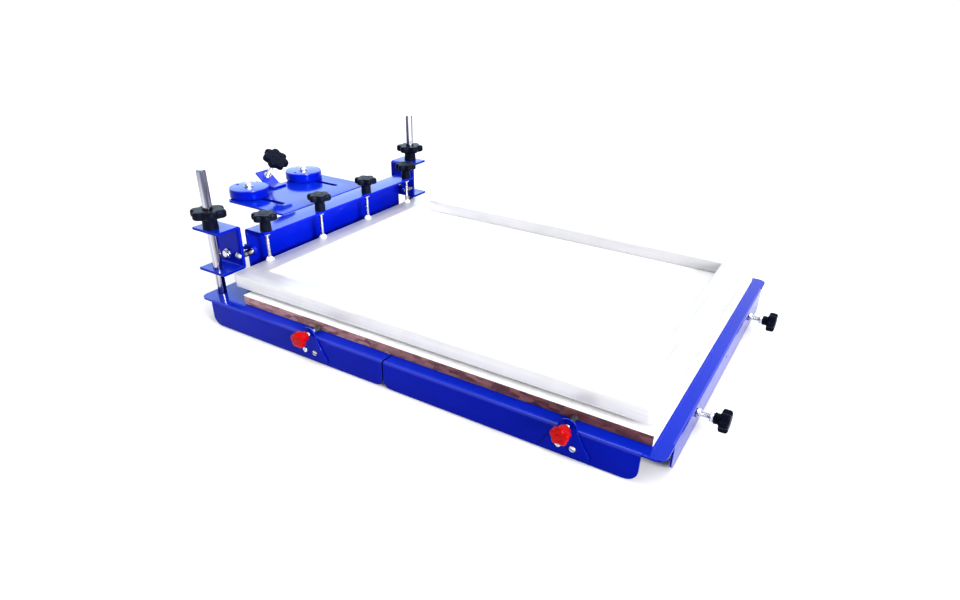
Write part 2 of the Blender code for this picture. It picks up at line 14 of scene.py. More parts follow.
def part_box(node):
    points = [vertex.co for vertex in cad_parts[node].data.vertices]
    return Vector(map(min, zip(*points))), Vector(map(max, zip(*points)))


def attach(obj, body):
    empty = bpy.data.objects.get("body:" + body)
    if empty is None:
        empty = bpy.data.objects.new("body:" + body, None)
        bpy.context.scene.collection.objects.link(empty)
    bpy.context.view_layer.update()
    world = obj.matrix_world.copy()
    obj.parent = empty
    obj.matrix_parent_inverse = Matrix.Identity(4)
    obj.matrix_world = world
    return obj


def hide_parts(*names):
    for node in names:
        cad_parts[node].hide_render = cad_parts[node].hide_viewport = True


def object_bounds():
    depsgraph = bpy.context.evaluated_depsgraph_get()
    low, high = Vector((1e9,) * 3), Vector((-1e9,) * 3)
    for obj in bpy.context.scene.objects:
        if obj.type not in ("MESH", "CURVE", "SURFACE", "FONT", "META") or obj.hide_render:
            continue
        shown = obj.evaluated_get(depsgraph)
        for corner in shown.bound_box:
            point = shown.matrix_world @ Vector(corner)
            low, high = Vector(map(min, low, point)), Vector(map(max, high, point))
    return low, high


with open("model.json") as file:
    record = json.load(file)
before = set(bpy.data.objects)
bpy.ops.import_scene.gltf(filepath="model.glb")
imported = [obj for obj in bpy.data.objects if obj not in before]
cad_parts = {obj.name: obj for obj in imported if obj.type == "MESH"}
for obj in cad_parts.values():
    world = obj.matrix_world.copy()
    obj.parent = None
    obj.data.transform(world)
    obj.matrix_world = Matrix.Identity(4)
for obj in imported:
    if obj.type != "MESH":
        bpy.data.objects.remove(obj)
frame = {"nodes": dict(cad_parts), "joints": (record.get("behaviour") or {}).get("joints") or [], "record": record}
CAD_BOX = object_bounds()

MM = 0.001
UP = Vector((0.0, 0.0, 1.0))
SIDES = ("left", "right")

# Degrees past which an edge is sharp: on a solid, and on folded sheet.
SHARP = 35.0
FOLDED = 40.0

# Folded sheet steel.
SHEET = 2.0 * MM
BEND = 3.2 * MM
TOP_CORNER = 23.0 * MM
FLANGE_START = 23.0 * MM
FLANGE_CORNER = 13.0 * MM
SEAM_CORNER = 9.0 * MM
END_FLANGE_INSET = 31.0 * MM
STUD_X = 100.0 * MM

# Bracket, beam and weight plate.
BRACKET_WEB = 4.4 * MM
BRACKET_T = 3.5 * MM
BEAM_DEPTH = 37.5 * MM
BEAM_T = 3.0 * MM
EAR_T = 4.4 * MM
PLATE_T = 3.0 * MM
PLATE_CORNER = 8.0 * MM
STOP_EXTRA = 12.0 * MM
PLATE_GAP = 3.4 * MM
EAR_RADIUS = 6.6 * MM
SLOT_HALF_WIDTH = 4.2 * MM
SLOT_HALF_LENGTH = 40.2 * MM
SLOT_AHEAD = 3.0 * MM
TRAY_DEPTH = 5.0 * MM

# Board and screen.
LAMINATE_T = 0.9 * MM
RAIL_W = 34.0 * MM
RAIL_CORNER = 7.0 * MM
RAIL_EDGE = 2.2 * MM
CLOTH_T = 0.14 * MM
CLOTH_BELLY = 0.35 * MM

# Fixings and holes; HEX is the common nut's width across its flats.
HEX = 10.0 * MM
SLACK = 0.2 * MM
DRILL_REACH = 15.0 * MM
HANDLING_HOLE = 21.0 * MM

BODY_OF = {}
for body_name, members in frame["record"]["behaviour"]["bodies"].items():
    for member in members:
        BODY_OF[member] = body_name
JOINTS = {joint["name"]: joint for joint in frame["joints"]}


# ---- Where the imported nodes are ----

def middle(node):
    low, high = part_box(node)
    return (low + high) / 2.0


def joint_place(joint):
    return Vector(JOINTS[joint]["pos_m"])


def height_of(node):
    low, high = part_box(node)
    return high.z - low.z


def base_of(node, lift=0.0):
    """The middle of a node's underside, raised by a distance."""
    centre = middle(node)
    return (centre.x, centre.y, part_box(node)[0].z + lift)


def measure(node, direction, point):
    """A node's start, end and reach about an axis: two distances along it from a point, and a radius."""
    point = Vector(point)
    direction = Vector(direction).normalized()
    heights = []
    reach = 0.0
    for vert in frame["nodes"][node].data.vertices:
        offset = vert.co - point
        height = offset.dot(direction)
        heights.append(height)
        reach = max(reach, (offset - direction * height).length)
    return min(heights), max(heights), reach


# ---- Shapes ----

def mm(*points):
    """Points given in millimetres, turned into metres."""
    return [(u * MM, v * MM) for u, v in points]


def oblong(first_u, first_v, last_u, last_v):
    """A rectangle's corners in turn, from two opposite ones."""
    return [(first_u, first_v), (last_u, first_v), (last_u, last_v), (first_u, last_v)]


def round_off(points, radii, steps=5, closed=False):
    """Replaces a polyline's corners with arcs; radii is one radius, or one for each point."""
    count = len(points)
    if isinstance(radii, float):
        radii = [radii] * count
    made = []
    for i, point in enumerate(points):
        here = Vector(point)
        if radii[i] == 0.0 or (not closed and i in (0, count - 1)):
            made.append(tuple(here))
            continue
        back = Vector(points[i - 1]) - here
        ahead = Vector(points[(i + 1) % count]) - here
        half_angle = back.angle(ahead) / 2.0
        if half_angle > math.radians(88.0):
            made.append(tuple(here))
            continue
        reach = min(radii[i] / math.tan(half_angle), 0.49 * back.length, 0.49 * ahead.length)
        radius = reach * math.tan(half_angle)
        back.normalize()
        ahead.normalize()
        centre = here + (back + ahead).normalized() * (radius / math.sin(half_angle))
        first = here + back * reach - centre
        last = here + ahead * reach - centre
        turn = math.atan2(first.x * last.y - first.y * last.x, first.dot(last))
        for k in range(steps + 1):
            angle = turn * k / steps
            u = first.x * math.cos(angle) - first.y * math.sin(angle)
            v = first.x * math.sin(angle) + first.y * math.cos(angle)
            made.append((centre.x + u, centre.y + v))
    return made


def polar(u, v, radius, turn):
    return (u + radius * math.cos(turn), v + radius * math.sin(turn))


def circle(u, v, radius, count=32):
    return [polar(u, v, radius, 2.0 * math.pi * i / count) for i in range(count)]


def slot_outline(u, v, half_u, half_v, radius):
    """A slot's outline about a point; its ends are round."""
    corners = oblong(u - half_u, v - half_v, u + half_u, v + half_v)
    return round_off(corners, radius, 8, closed=True)


def fill_outline(mesh, loops, rings):
    """Adds the face of an outline that may have holes: loops are its flat points, rings its vertices."""
    if len(loops) == 1:
        mesh.faces.new(rings[0])
        return
    flat = [[Vector((u, v, 0.0)) for u, v in loop] for loop in loops]
    verts = [vert for ring in rings for vert in ring]
    for triangle in tessellate_polygon(flat):
        mesh.faces.new([verts[i] for i in triangle])


def join_rings(mesh, lower, upper):
    """Adds the faces between two closed rings of vertices; one of them may be a single point."""
    count = max(len(lower), len(upper))
    for i in range(count):
        j = (i + 1) % count
        if len(lower) == 1:
            mesh.faces.new((lower[0], upper[i], upper[j]))
        elif len(upper) == 1:
            mesh.faces.new((lower[i], upper[0], lower[j]))
        else:
            mesh.faces.new((lower[i], lower[j], upper[j], upper[i]))


def flat_face(mesh, to_space, outline, holes=()):
    """Adds a flat face, with or without holes."""
    loops = [outline, *holes]
    fill_outline(mesh, loops, [[mesh.verts.new(to_space(u, v)) for u, v in loop] for loop in loops])


def bend(mesh, to_space, low, high):
    """Adds a quarter-round bend; to_space takes (along, out, down)."""
    steps = 6
    rows = []
    for k in range(steps + 1):
        angle = math.pi / 2.0 * k / steps
        out = BEND * math.sin(angle)
        down = BEND * (1.0 - math.cos(angle))
        rows.append([mesh.verts.new(to_space(along, out, down)) for along in (low, high)])
    for upper, lower in zip(rows, rows[1:]):
        mesh.faces.new((upper[0], upper[1], lower[1], lower[0]))


def face_outwards(mesh, inside):
    """Joins an open skin's faces, and turns each one away from a point."""
    bmesh.ops.remove_doubles(mesh, verts=mesh.verts, dist=1e-6)
    for face in mesh.faces:
        face.normal_update()
        if face.normal.dot(face.calc_center_median() - Vector(inside)) < 0.0:
            face.normal_flip()


def as_given(u, v, level):
    return (u, v, level)


def prism(outline, to_space, low, high, holes=()):
    """A closed plate: an outline with holes, between two levels; to_space takes (u, v, level)."""
    mesh = bmesh.new()
    loops = [outline, *holes]
    rings = []
    for level in (low, high):
        rings.append([[mesh.verts.new(to_space(u, v, level)) for u, v in loop] for loop in loops])
    for ring in rings:
        fill_outline(mesh, loops, ring)
    for bottom, top in zip(*rings):
        join_rings(mesh, bottom, top)
    return mesh


def lathe(profile, count=48, shape=None, closed=False):
    """A turned solid about Z from (radius, z) points; shape(angle, radius, row) may change a radius."""
    mesh = bmesh.new()
    rings = []
    for row, (radius, z) in enumerate(profile):
        if radius == 0.0:
            rings.append([mesh.verts.new((0.0, 0.0, z))])
            continue
        ring = []
        for i in range(count):
            angle = 2.0 * math.pi * i / count
            reach = radius if shape is None else shape(angle, radius, row)
            ring.append(mesh.verts.new((reach * math.cos(angle), reach * math.sin(angle), z)))
        rings.append(ring)
    pairs = list(zip(rings, rings[1:]))
    if closed:
        pairs.append((rings[-1], rings[0]))
    for lower, upper in pairs:
        join_rings(mesh, lower, upper)
    return mesh


def aim(mesh, point, direction):
    """Turns a solid made about Z so that Z points along a direction, then moves it to a point."""
    turn = UP.rotation_difference(Vector(direction)).to_matrix().to_4x4()
    bmesh.ops.transform(mesh, verts=mesh.verts, matrix=Matrix.Translation(point) @ turn)
    return mesh


def hexagon(across, height, bore=0.0, chamfer=0.9 * MM):
    """A hexagonal nut from z 0 to its height, its corners chamfered; without a bore it is a bolt's head."""
    apothem = across / 2.0
    corner = apothem / math.cos(math.pi / 6.0)
    rows = [(apothem * 0.93, 0.0), (apothem * 1.04, chamfer * 0.5), (corner, chamfer)]
    rows += [(radius, height - z) for radius, z in reversed(rows)]
    if bore:
        profile = [(bore, 0.3 * MM), *rows, (bore, height - 0.3 * MM)]
    else:
        profile = [(0.0, 0.0), *rows, (0.0, height)]

    def shape(angle, radius, row):
        if bore and row in (0, len(profile) - 1):
            return radius
        off_flat = (angle + math.pi / 6.0) % (math.pi / 3.0) - math.pi / 6.0
        return min(apothem / math.cos(off_flat), radius)

    return lathe(profile, 72, shape, closed=bool(bore))


def washer(outer, inner, height):
    """A flat ring from z 0 to its height, with its outer edges taken off."""
    edge = min(0.25 * MM, height * 0.3)
    profile = [(inner, 0.0), (outer - edge, 0.0), (outer, edge)]
    profile += [(outer, height - edge), (outer - edge, height), (inner, height)]
    return lathe(profile, 48, closed=True)


def threaded(radius, length, pitch, depth=None):
    """A threaded rod from z 0 to its length."""
    depth = 0.5 * pitch if depth is None else depth
    count = 26
    rows = int(length / pitch * 6)
    mesh = bmesh.new()
    rings = []
    for row in range(rows + 1):
        z = length * row / rows
        fade = min(1.0, z / pitch, max(0.0, (length - z) / pitch))
        chamfer = max(0.0, 1.0 - z / (0.6 * pitch), 1.0 - (length - z) / (0.6 * pitch)) * depth
        ring = []
        for i in range(count):
            angle = 2.0 * math.pi * i / count
            phase = (z / pitch - i / count) % 1.0
            cut = depth * fade * (1.0 - abs(2.0 * phase - 1.0))
            reach = radius - max(cut, chamfer)
            ring.append(mesh.verts.new((reach * math.cos(angle), reach * math.sin(angle), z)))
        rings.append(ring)
    for lower, upper in zip(rings, rings[1:]):
        join_rings(mesh, lower, upper)
    mesh.faces.new(rings[0])
    mesh.faces.new(rings[-1])
    return mesh


def star_knob(radius, height, hub_radius, hub, lobes, depth, bore):
    """A star knob about Z: a tapered hub, a lobed head with soft edges, and a cap or a through bore."""
    head = height - hub
    soft = min(2.6 * MM, head * 0.32)
    side = [
        (hub_radius, 0.0),
        (hub_radius * 0.93, hub * 0.92),
        (radius * 0.80, hub),
        (radius, hub + head * 0.10),
        (radius, height),
        (radius * 0.50, height + 0.001 * radius),
    ]
    side = round_off(side, [0.0, 1.6 * MM, 1.2 * MM, soft, soft * 1.25, 0.0], 5)
    dish = radius * 0.36
    if bore:
        inner = [(bore + 1.2 * MM, height - 0.2 * MM), (bore, height - 1.4 * MM)]
        profile = [(bore, 0.0), (hub_radius - 0.5 * MM, 0.0), *side, *inner]
    else:
        step = [(dish + out * MM, height - down * MM) for out, down in ((0.5, 0.0), (0.1, 0.6), (-0.3, 0.6))]
        cap = [(dish - 0.6 * MM, height - 0.1 * MM), (dish * 0.6, height + 0.15 * MM)]
        cap.append((0.0, height + 0.25 * MM))
        under = [(0.0, 0.6 * MM), (hub_radius - 1.4 * MM, 0.6 * MM), (hub_radius - 0.6 * MM, 0.0)]
        profile = [*under, *side, *step, *cap]

    def shape(angle, here, row):
        share = min(1.0, max(0.0, (here / radius - 0.5) / 0.5))
        notch = (0.5 - 0.5 * math.cos(lobes * angle)) ** 1.35
        return here - radius * depth * share * notch

    return lathe(profile, lobes * 18, shape, closed=bool(bore))


# ---- Pieces ----

def link(name, data):
    made = bpy.data.objects.new(name, data)
    bpy.context.scene.collection.objects.link(made)
    return made


def link_mesh(name, mesh):
    data = bpy.data.meshes.new(name)
    mesh.to_mesh(data)
    mesh.free()
    return link(name, data)


def piece(name, mesh, look, body, node=None, bevel=0.0, angle=SHARP, closed=True):
    """Links a mesh as a piece that rides on a body, and may stand for a CAD node."""
    if closed:
        bmesh.ops.recalc_face_normals(mesh, faces=mesh.faces)
    made = link_mesh(name, mesh)
    made.data.materials.append(look.material)
    soften(made, bevel, angle)
    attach(made, body)
    if node:
        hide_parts(node)
    return made


def steel(name, mesh, point, direction, body, node=None):
    """A steel piece made about Z, aimed along a direction from a point."""
    piece(name, aim(mesh, point, direction), STEEL, body, node)


def dress(node, look, bevel):
    """Gives a CAD node that is shown its material, and rounds its edges."""
    made = frame["nodes"][node]
    made.data.materials.clear()
    made.data.materials.append(look.material)
    soften(made, bevel)


def soften(made, bevel, angle=SHARP):
    """Smooth shading up to an angle, and a small rounding of the edges past it."""
    made.data.shade_smooth()
    made.data.set_sharp_from_angle(angle=math.radians(angle))
    if bevel:
        rounding = made.modifiers.new("rounding", "BEVEL")
        rounding.width = bevel
        rounding.segments = 2
        rounding.limit_method = "ANGLE"
        rounding.angle_limit = math.radians(angle)
        rounding.harden_normals = True


def settle(made, angle=SHARP):
    """Makes what the modifiers give the piece's own mesh."""
    depsgraph = bpy.context.evaluated_depsgraph_get()
    data = bpy.data.meshes.new_from_object(made.evaluated_get(depsgraph))
    made.modifiers.clear()
    made.data = data
    data.shade_smooth()
    data.set_sharp_from_angle(angle=math.radians(angle))


def thicken(made, thickness, angle=FOLDED):
    """Gives an open skin its thickness, on the side away from its normals."""
    thick = made.modifiers.new("sheet", "SOLIDIFY")
    thick.thickness = thickness
    thick.offset = -1.0
    settle(made, angle)


def carve(made, cutters, bevel):
    """Cuts solids out of a piece, then rounds its edges."""
    made.modifiers.clear()
    for mesh in cutters:
        bmesh.ops.recalc_face_normals(mesh, faces=mesh.faces)
        boolean = made.modifiers.new("cut", "BOOLEAN")
        boolean.operation = "DIFFERENCE"
        boolean.solver = "EXACT"
        boolean.object = link_mesh("cutter", mesh)
    tools = [modifier.object for modifier in made.modifiers]
    settle(made)
    for tool in tools:
        bpy.data.objects.remove(tool, do_unlink=True)
    soften(made, bevel)


def drill(point, direction, radius, reach, count=40):
    """A round cutter through a point, both ways along a direction."""
    return aim(lathe(oblong(0.0, -reach, radius, reach), count), point, direction)


# ---- Materials ----

class Nodes:
    """A node tree, with short calls for the nodes that are used more than once."""

    def __init__(self, tree):
        self.tree = tree

    def node(self, kind, settings=None, **values):
        made = self.tree.nodes.new(kind)
        for key, value in (settings or {}).items():
            setattr(made, key, value)
        for key, value in values.items():
            self.fill(made.inputs[key.replace("_", " ")], value)
        return made

    def fill(self, socket, value):
        if isinstance(value, bpy.types.NodeSocket):
            self.tree.links.new(value, socket)
        else:
            socket.default_value = value

    def math(self, operation, *values):
        made = self.node("ShaderNodeMath", {"operation": operation})
        for socket, value in zip(made.inputs, values):
            self.fill(socket, value)
        return made.outputs["Value"]

    def mix(self, share, first, second):
        made = self.node("ShaderNodeMix", {"data_type": "RGBA"})
        self.fill(made.inputs["Factor"], share)
        self.fill(made.inputs["A"], (*first, 1.0) if isinstance(first, tuple) else first)
        self.fill(made.inputs["B"], (*second, 1.0) if isinstance(second, tuple) else second)
        return made.outputs["Result"]


class Look(Nodes):
    """A Principled material, with short calls for the nodes that texture it."""

    def __init__(self, name, color, metallic, roughness, slot=None):
        self.material = bpy.data.materials.new(name)
        self.material.use_nodes = True
        super().__init__(self.material.node_tree)
        self.slot = slot
        self.shader = self.tree.nodes["Principled BSDF"]
        self.set("Base Color", (*color, 1.0))
        self.set("Metallic", metallic)
        self.set("Roughness", roughness)
        self.place = self.node("ShaderNodeTexCoord").outputs["Object"]

    def set(self, name, value):
        self.fill(self.shader.inputs[name], value)

    def stretched(self, scale):
        return self.node("ShaderNodeMapping", Vector=self.place, Scale=scale).outputs["Vector"]

    def noise(self, scale, detail=3.0, roughness=0.55, distortion=0.0, stretch=None):
        place = self.stretched(stretch) if stretch else self.place
        made = self.node("ShaderNodeTexNoise", Vector=place, Scale=scale, Detail=detail, Roughness=roughness)
        self.fill(made.inputs["Distortion"], distortion)
        return made.outputs["Fac"]

    def cells(self, scale, stretch=None):
        place = self.stretched(stretch) if stretch else self.place
        return self.node("ShaderNodeTexVoronoi", Vector=place, Scale=scale)

    def ramp(self, source, *stops):
        """Maps a value through (place, value or colour) stops."""
        made = self.node("ShaderNodeValToRGB", Fac=source)
        elements = made.color_ramp.elements
        for i, (where, value) in enumerate(stops):
            element = elements[i] if i < 2 else elements.new(where)
            element.position = where
            element.color = (*value, 1.0) if isinstance(value, tuple) else (value, value, value, 1.0)
        return made.outputs["Color"]

    def bump(self, height, distance):
        return self.node("ShaderNodeBump", Height=height, Distance=distance).outputs["Normal"]

    def surface(self, tone, colours, gloss, roughness, relief, depth):
        """Sets the colour from one value, the roughness from a second and the bump from a third."""
        self.set("Base Color", self.ramp(tone, *colours))
        self.set("Roughness", self.ramp(gloss, *roughness))
        self.set("Normal", self.bump(relief, depth))

    def edge_wear(self, radius, patches):
        """About 1 along sharp edges where the patches are high, 0 elsewhere."""
        rounded = self.node("ShaderNodeBevel", {"samples": 4}, Radius=radius).outputs["Normal"]
        normal = self.node("ShaderNodeNewGeometry").outputs["Normal"]
        same = self.node("ShaderNodeVectorMath", {"operation": "DOT_PRODUCT"})
        self.fill(same.inputs[0], rounded)
        self.fill(same.inputs[1], normal)
        turned = self.math("SUBTRACT", 1.0, same.outputs["Value"])
        return self.ramp(self.math("MULTIPLY", turned, patches), (0.02, 0.0), (0.10, 1.0))


def blue_paint():
    """Royal blue enamel: slight orange peel, faint cloudiness, thin bright wear along the edges, and a paler blue
    painted on faces that point up, as painted light from above.
    """
    look = Look("blue_paint", (0.001, 0.005, 0.28), 0.0, 0.12, "blue_paint")
    cloud = look.noise(9.0, 2.0)
    body = look.mix(look.ramp(cloud, (0.35, 0.0), (0.7, 1.0)), (0.0006, 0.0055, 0.22), (0.0012, 0.0085, 0.27))
    # Painted light: faces that point up get a paler blue, standing in for the light that falls on them from above.
    facing = look.node("ShaderNodeTexCoord").outputs["Normal"]
    upright = look.node("ShaderNodeSeparateXYZ", Vector=facing).outputs["Z"]
    level = look.ramp(upright, (0.35, 0.0), (0.95, 1.0))
    pale = look.mix(cloud, (0.0015, 0.016, 0.34), (0.0025, 0.024, 0.42))
    body = look.mix(level, body, pale)
    specks = look.ramp(look.noise(520.0, 1.0), (0.70, 0.0), (0.78, 1.0))
    body = look.mix(look.math("MULTIPLY", specks, 0.25), body, (0.008, 0.03, 0.45))
    patches = look.ramp(look.noise(60.0, 4.0, 0.7), (0.46, 0.0), (0.66, 1.0))
    wear = look.edge_wear(0.7 * MM, patches)
    look.set("Base Color", look.mix(look.math("MULTIPLY", wear, 0.55), body, (0.06, 0.11, 0.62)))
    smudge = look.noise(24.0, 5.0, 0.6, 0.4)
    look.set("Roughness", look.ramp(smudge, (0.3, 0.08), (0.75, 0.18)))
    look.set("IOR", 1.28)
    rounded = look.ramp(upright, (0.10, 0.0), (0.35, 1.0), (0.96, 1.0), (0.995, 0.15))
    look.set("Specular Tint", (0.04, 0.15, 1.0, 1.0))
    look.set("Coat Weight", rounded)
    look.set("Coat Roughness", 0.06)
    peel = look.noise(420.0, 1.5, 0.4)
    look.set("Normal", look.bump(peel, 0.012 * MM))
    return look


def bright_steel():
    """Zinc-plated steel: soft mottled gloss with fine turning marks."""
    look = Look("bright_steel", (0.80, 0.81, 0.84), 1.0, 0.24, "bright_steel")
    cloud = look.noise(160.0, 4.0, 0.6)
    colours = ((0.25, (0.42, 0.43, 0.46)), (0.75, (0.74, 0.75, 0.78)))
    gloss = look.noise(420.0, 3.0)
    look.surface(cloud, colours, gloss, ((0.3, 0.14), (0.75, 0.34)), look.noise(900.0, 2.0), 0.01 * MM)
    return look


def chrome():
    """Ground and chromed bar: glossy, with soft dark and bright bands painted down its length as painted
    reflection, and faint rings.
    """
    look = Look("chrome", (0.60, 0.60, 0.66), 1.0, 0.08, "chrome")
    # Painted reflection: dark and bright stripes down the bar stand in for the room mirrored in the round chrome.
    painted_reflection_bands = look.noise(190.0, 2.0, 0.5, 0.0, (1.0, 1.0, 0.02))
    colours = ((0.38, (0.09, 0.09, 0.13)), (0.52, (0.34, 0.33, 0.40)), (0.66, (0.74, 0.73, 0.80)))
    rings = look.noise(120.0, 3.0, 0.6, 0.0, (1.0, 1.0, 18.0))
    gloss = look.math("MULTIPLY", rings, look.noise(45.0, 4.0, 0.6))
    look.surface(painted_reflection_bands, colours, gloss, ((0.12, 0.05), (0.42, 0.16)), rings, 0.004 * MM)
    return look


def moulded(name, plain, roughness, wear, gloss, shine, relief):
    """Moulded plastic: semi-gloss with a fine texture, a little paler where its edges are rubbed."""
    look = Look(name, plain, 0.0, roughness, name)
    scale, share, body, worn = wear
    patches = look.ramp(look.noise(scale, 3.0), (0.4, 0.0), (0.7, 1.0))
    rubbed = look.math("MULTIPLY", look.edge_wear(0.6 * MM, patches), share)
    look.set("Base Color", look.mix(rubbed, body, worn))
    scale, smooth, rough = gloss
    look.set("Roughness", look.ramp(look.noise(scale, 4.0), (0.3, smooth), (0.7, rough)))
    look.set("IOR", shine[0])
    look.set("Specular Tint", shine[1])
    look.set("Normal", look.bump(look.noise(relief[0], 2.0), relief[1]))
    return look


def black_plastic():
    wear = (150.0, 0.4, (0.003, 0.004, 0.010), (0.04, 0.04, 0.06))
    shine = (1.18, (0.6, 0.7, 1.0, 1.0))
    relief = (1400.0, 0.015 * MM)
    return moulded("black_plastic", (0.004, 0.004, 0.009), 0.22, wear, (200.0, 0.32, 0.46), shine, relief)


def red_plastic():
    wear = (170.0, 0.5, (0.33, 0.0008, 0.002), (0.70, 0.02, 0.02))
    shine = (1.34, (1.0, 0.35, 0.35, 1.0))
    relief = (1300.0, 0.012 * MM)
    return moulded("red_plastic", (0.50, 0.001, 0.003), 0.2, wear, (220.0, 0.12, 0.28), shine, relief)


def white_laminate():
    """White melamine: satin, very slightly pebbled, with faint scuffs."""
    look = Look("white_laminate", (0.86, 0.86, 0.87), 0.0, 0.3, "white_laminate")
    scuff = look.noise(30.0, 6.0, 0.75, 0.6, (1.0, 5.0, 1.0))
    colours = ((0.3, (0.80, 0.80, 0.82)), (0.6, (0.88, 0.88, 0.88)))
    pebbles = look.cells(700.0).outputs["Distance"]
    look.surface(scuff, colours, scuff, ((0.35, 0.40), (0.7, 0.26)), pebbles, 0.02 * MM)
    return look


def board_core():
    """Sealed chipboard edge: brown flakes lying flat, darker towards the front of the board."""
    look = Look("board_core", (0.28, 0.14, 0.12), 0.0, 0.55)
    flakes = look.cells(230.0, (0.35, 0.35, 1.0))
    tone = look.node("ShaderNodeSeparateColor", Color=flakes.outputs["Color"]).outputs["Red"]
    grain = look.noise(140.0, 5.0, 0.7, 0.5, (0.5, 0.5, 1.6))
    share = look.math("ADD", look.math("MULTIPLY", tone, 0.45), look.math("MULTIPLY", grain, 0.55))
    dark = ((0.25, (0.045, 0.013, 0.012)), (0.5, (0.105, 0.033, 0.035)), (0.8, (0.20, 0.085, 0.08)))
    pale = ((0.25, (0.16, 0.075, 0.066)), (0.5, (0.33, 0.18, 0.165)), (0.8, (0.50, 0.33, 0.30)))
    along = look.node("ShaderNodeSeparateXYZ", Vector=look.place).outputs["Y"]
    blotch = look.noise(11.0, 3.0, 0.6)
    place = look.math("ADD", along, look.math("MULTIPLY", blotch, 0.22))
    fade = look.node("ShaderNodeMapRange", Value=place, From_Min=-0.12, From_Max=0.26).outputs["Result"]
    look.set("Base Color", look.mix(fade, look.ramp(share, *dark), look.ramp(share, *pale)))
    look.set("Roughness", look.ramp(grain, (0.3, 0.42), (0.7, 0.66)))
    look.set("Normal", look.bump(share, 0.12 * MM))
    return look


def aluminium(name, stretch):
    """Satin aluminium tube: fine brush lines along the rail, and soft blotches."""
    look = Look(name, (0.57, 0.57, 0.59), 0.45, 0.42, "frame_aluminium")
    lines = look.noise(260.0, 3.0, 0.65, 0.0, stretch)
    blotch = look.noise(22.0, 4.0, 0.6)
    tone = look.math("ADD", look.math("MULTIPLY", lines, 0.6), look.math("MULTIPLY", blotch, 0.4))
    colours = ((0.3, (0.52, 0.52, 0.54)), (0.62, (0.61, 0.61, 0.63)))
    look.surface(tone, colours, tone, ((0.3, 0.45), (0.7, 0.34)), lines, 0.02 * MM)
    return look


def mesh_cloth():
    """White polyester screen mesh: a plain weave, slightly see-through."""
    look = Look("mesh_cloth", (0.90, 0.90, 0.92), 0.0, 0.55, "mesh_cloth")
    pitch = 0.5 * MM
    scale = 2.0 * math.pi / pitch / 20.0
    threads = []
    for direction in ("X", "Y"):
        settings = {"wave_type": "BANDS", "bands_direction": direction, "wave_profile": "SIN"}
        wave = look.node("ShaderNodeTexWave", settings, Vector=look.place, Scale=scale)
        threads.append(wave.outputs["Fac"])
    weave = look.math("MAXIMUM", threads[0], threads[1])
    blotch = look.noise(14.0, 3.0, 0.6)
    tone = look.math("ADD", look.math("MULTIPLY", weave, 0.5), look.math("MULTIPLY", blotch, 0.5))
    look.set("Base Color", look.ramp(tone, (0.2, (0.80, 0.80, 0.84)), (0.7, (0.94, 0.94, 0.95))))
    look.set("Normal", look.bump(weave, 0.03 * MM))
    look.set("Alpha", 0.86)
    look.set("Sheen Weight", 0.15)
    look.set("Sheen Roughness", 0.4)
    return look


def white_nylon():
    """White moulded nylon: matt, a little mottled."""
    look = Look("white_nylon", (0.84, 0.84, 0.85), 0.0, 0.4, "white_nylon")
    cloud = look.noise(250.0, 4.0, 0.6)
    colours = ((0.3, (0.76, 0.76, 0.77)), (0.7, (0.88, 0.88, 0.88)))
    look.surface(cloud, colours, cloud, ((0.3, 0.34), (0.7, 0.5)), look.noise(1500.0, 2.0), 0.01 * MM)
    return look


def foot_rubber():
    """Black rubber: dull, with grey dust in patches."""
    look = Look("foot_rubber", (0.02, 0.02, 0.021), 0.0, 0.75, "foot_rubber")
    dust = look.noise(180.0, 5.0, 0.7)
    colours = ((0.4, (0.016, 0.016, 0.017)), (0.75, (0.06, 0.058, 0.055)))
    look.surface(dust, colours, dust, ((0.3, 0.62), (0.7, 0.85)), look.noise(900.0, 3.0), 0.05 * MM)
    return look


PAINT = blue_paint()
STEEL = bright_steel()
CHROME = chrome()
BLACK = black_plastic()
RED = red_plastic()
LAMINATE = white_laminate()
CORE = board_core()
ALUMINIUM_X = aluminium("frame_aluminium_across", (0.03, 1.0, 1.0))
ALUMINIUM_Y = aluminium("frame_aluminium_along", (1.0, 0.03, 1.0))
CLOTH = mesh_cloth()
NYLON = white_nylon()
RUBBER = foot_rubber()


# ---- Base ----

def post_place(side):
    return middle(f"post_{side}")


def panel_holes(front, centre, edge, sign):
    """The carriage studs' slots in the front panel, or the posts' holes in the rear one."""
    if front:
        bar = middle("board_carriage")
        v = sign * (bar.y - edge)
        studs = (bar.x - STUD_X, bar.x + STUD_X)
        return [slot_outline(x - centre, v, 6.0 * MM, 14.8 * MM, 5.9 * MM) for x in studs]
    places = [post_place(side) for side in SIDES]
    return [circle(post.x - centre, sign * (post.y - edge), 6.25 * MM) for post in places]


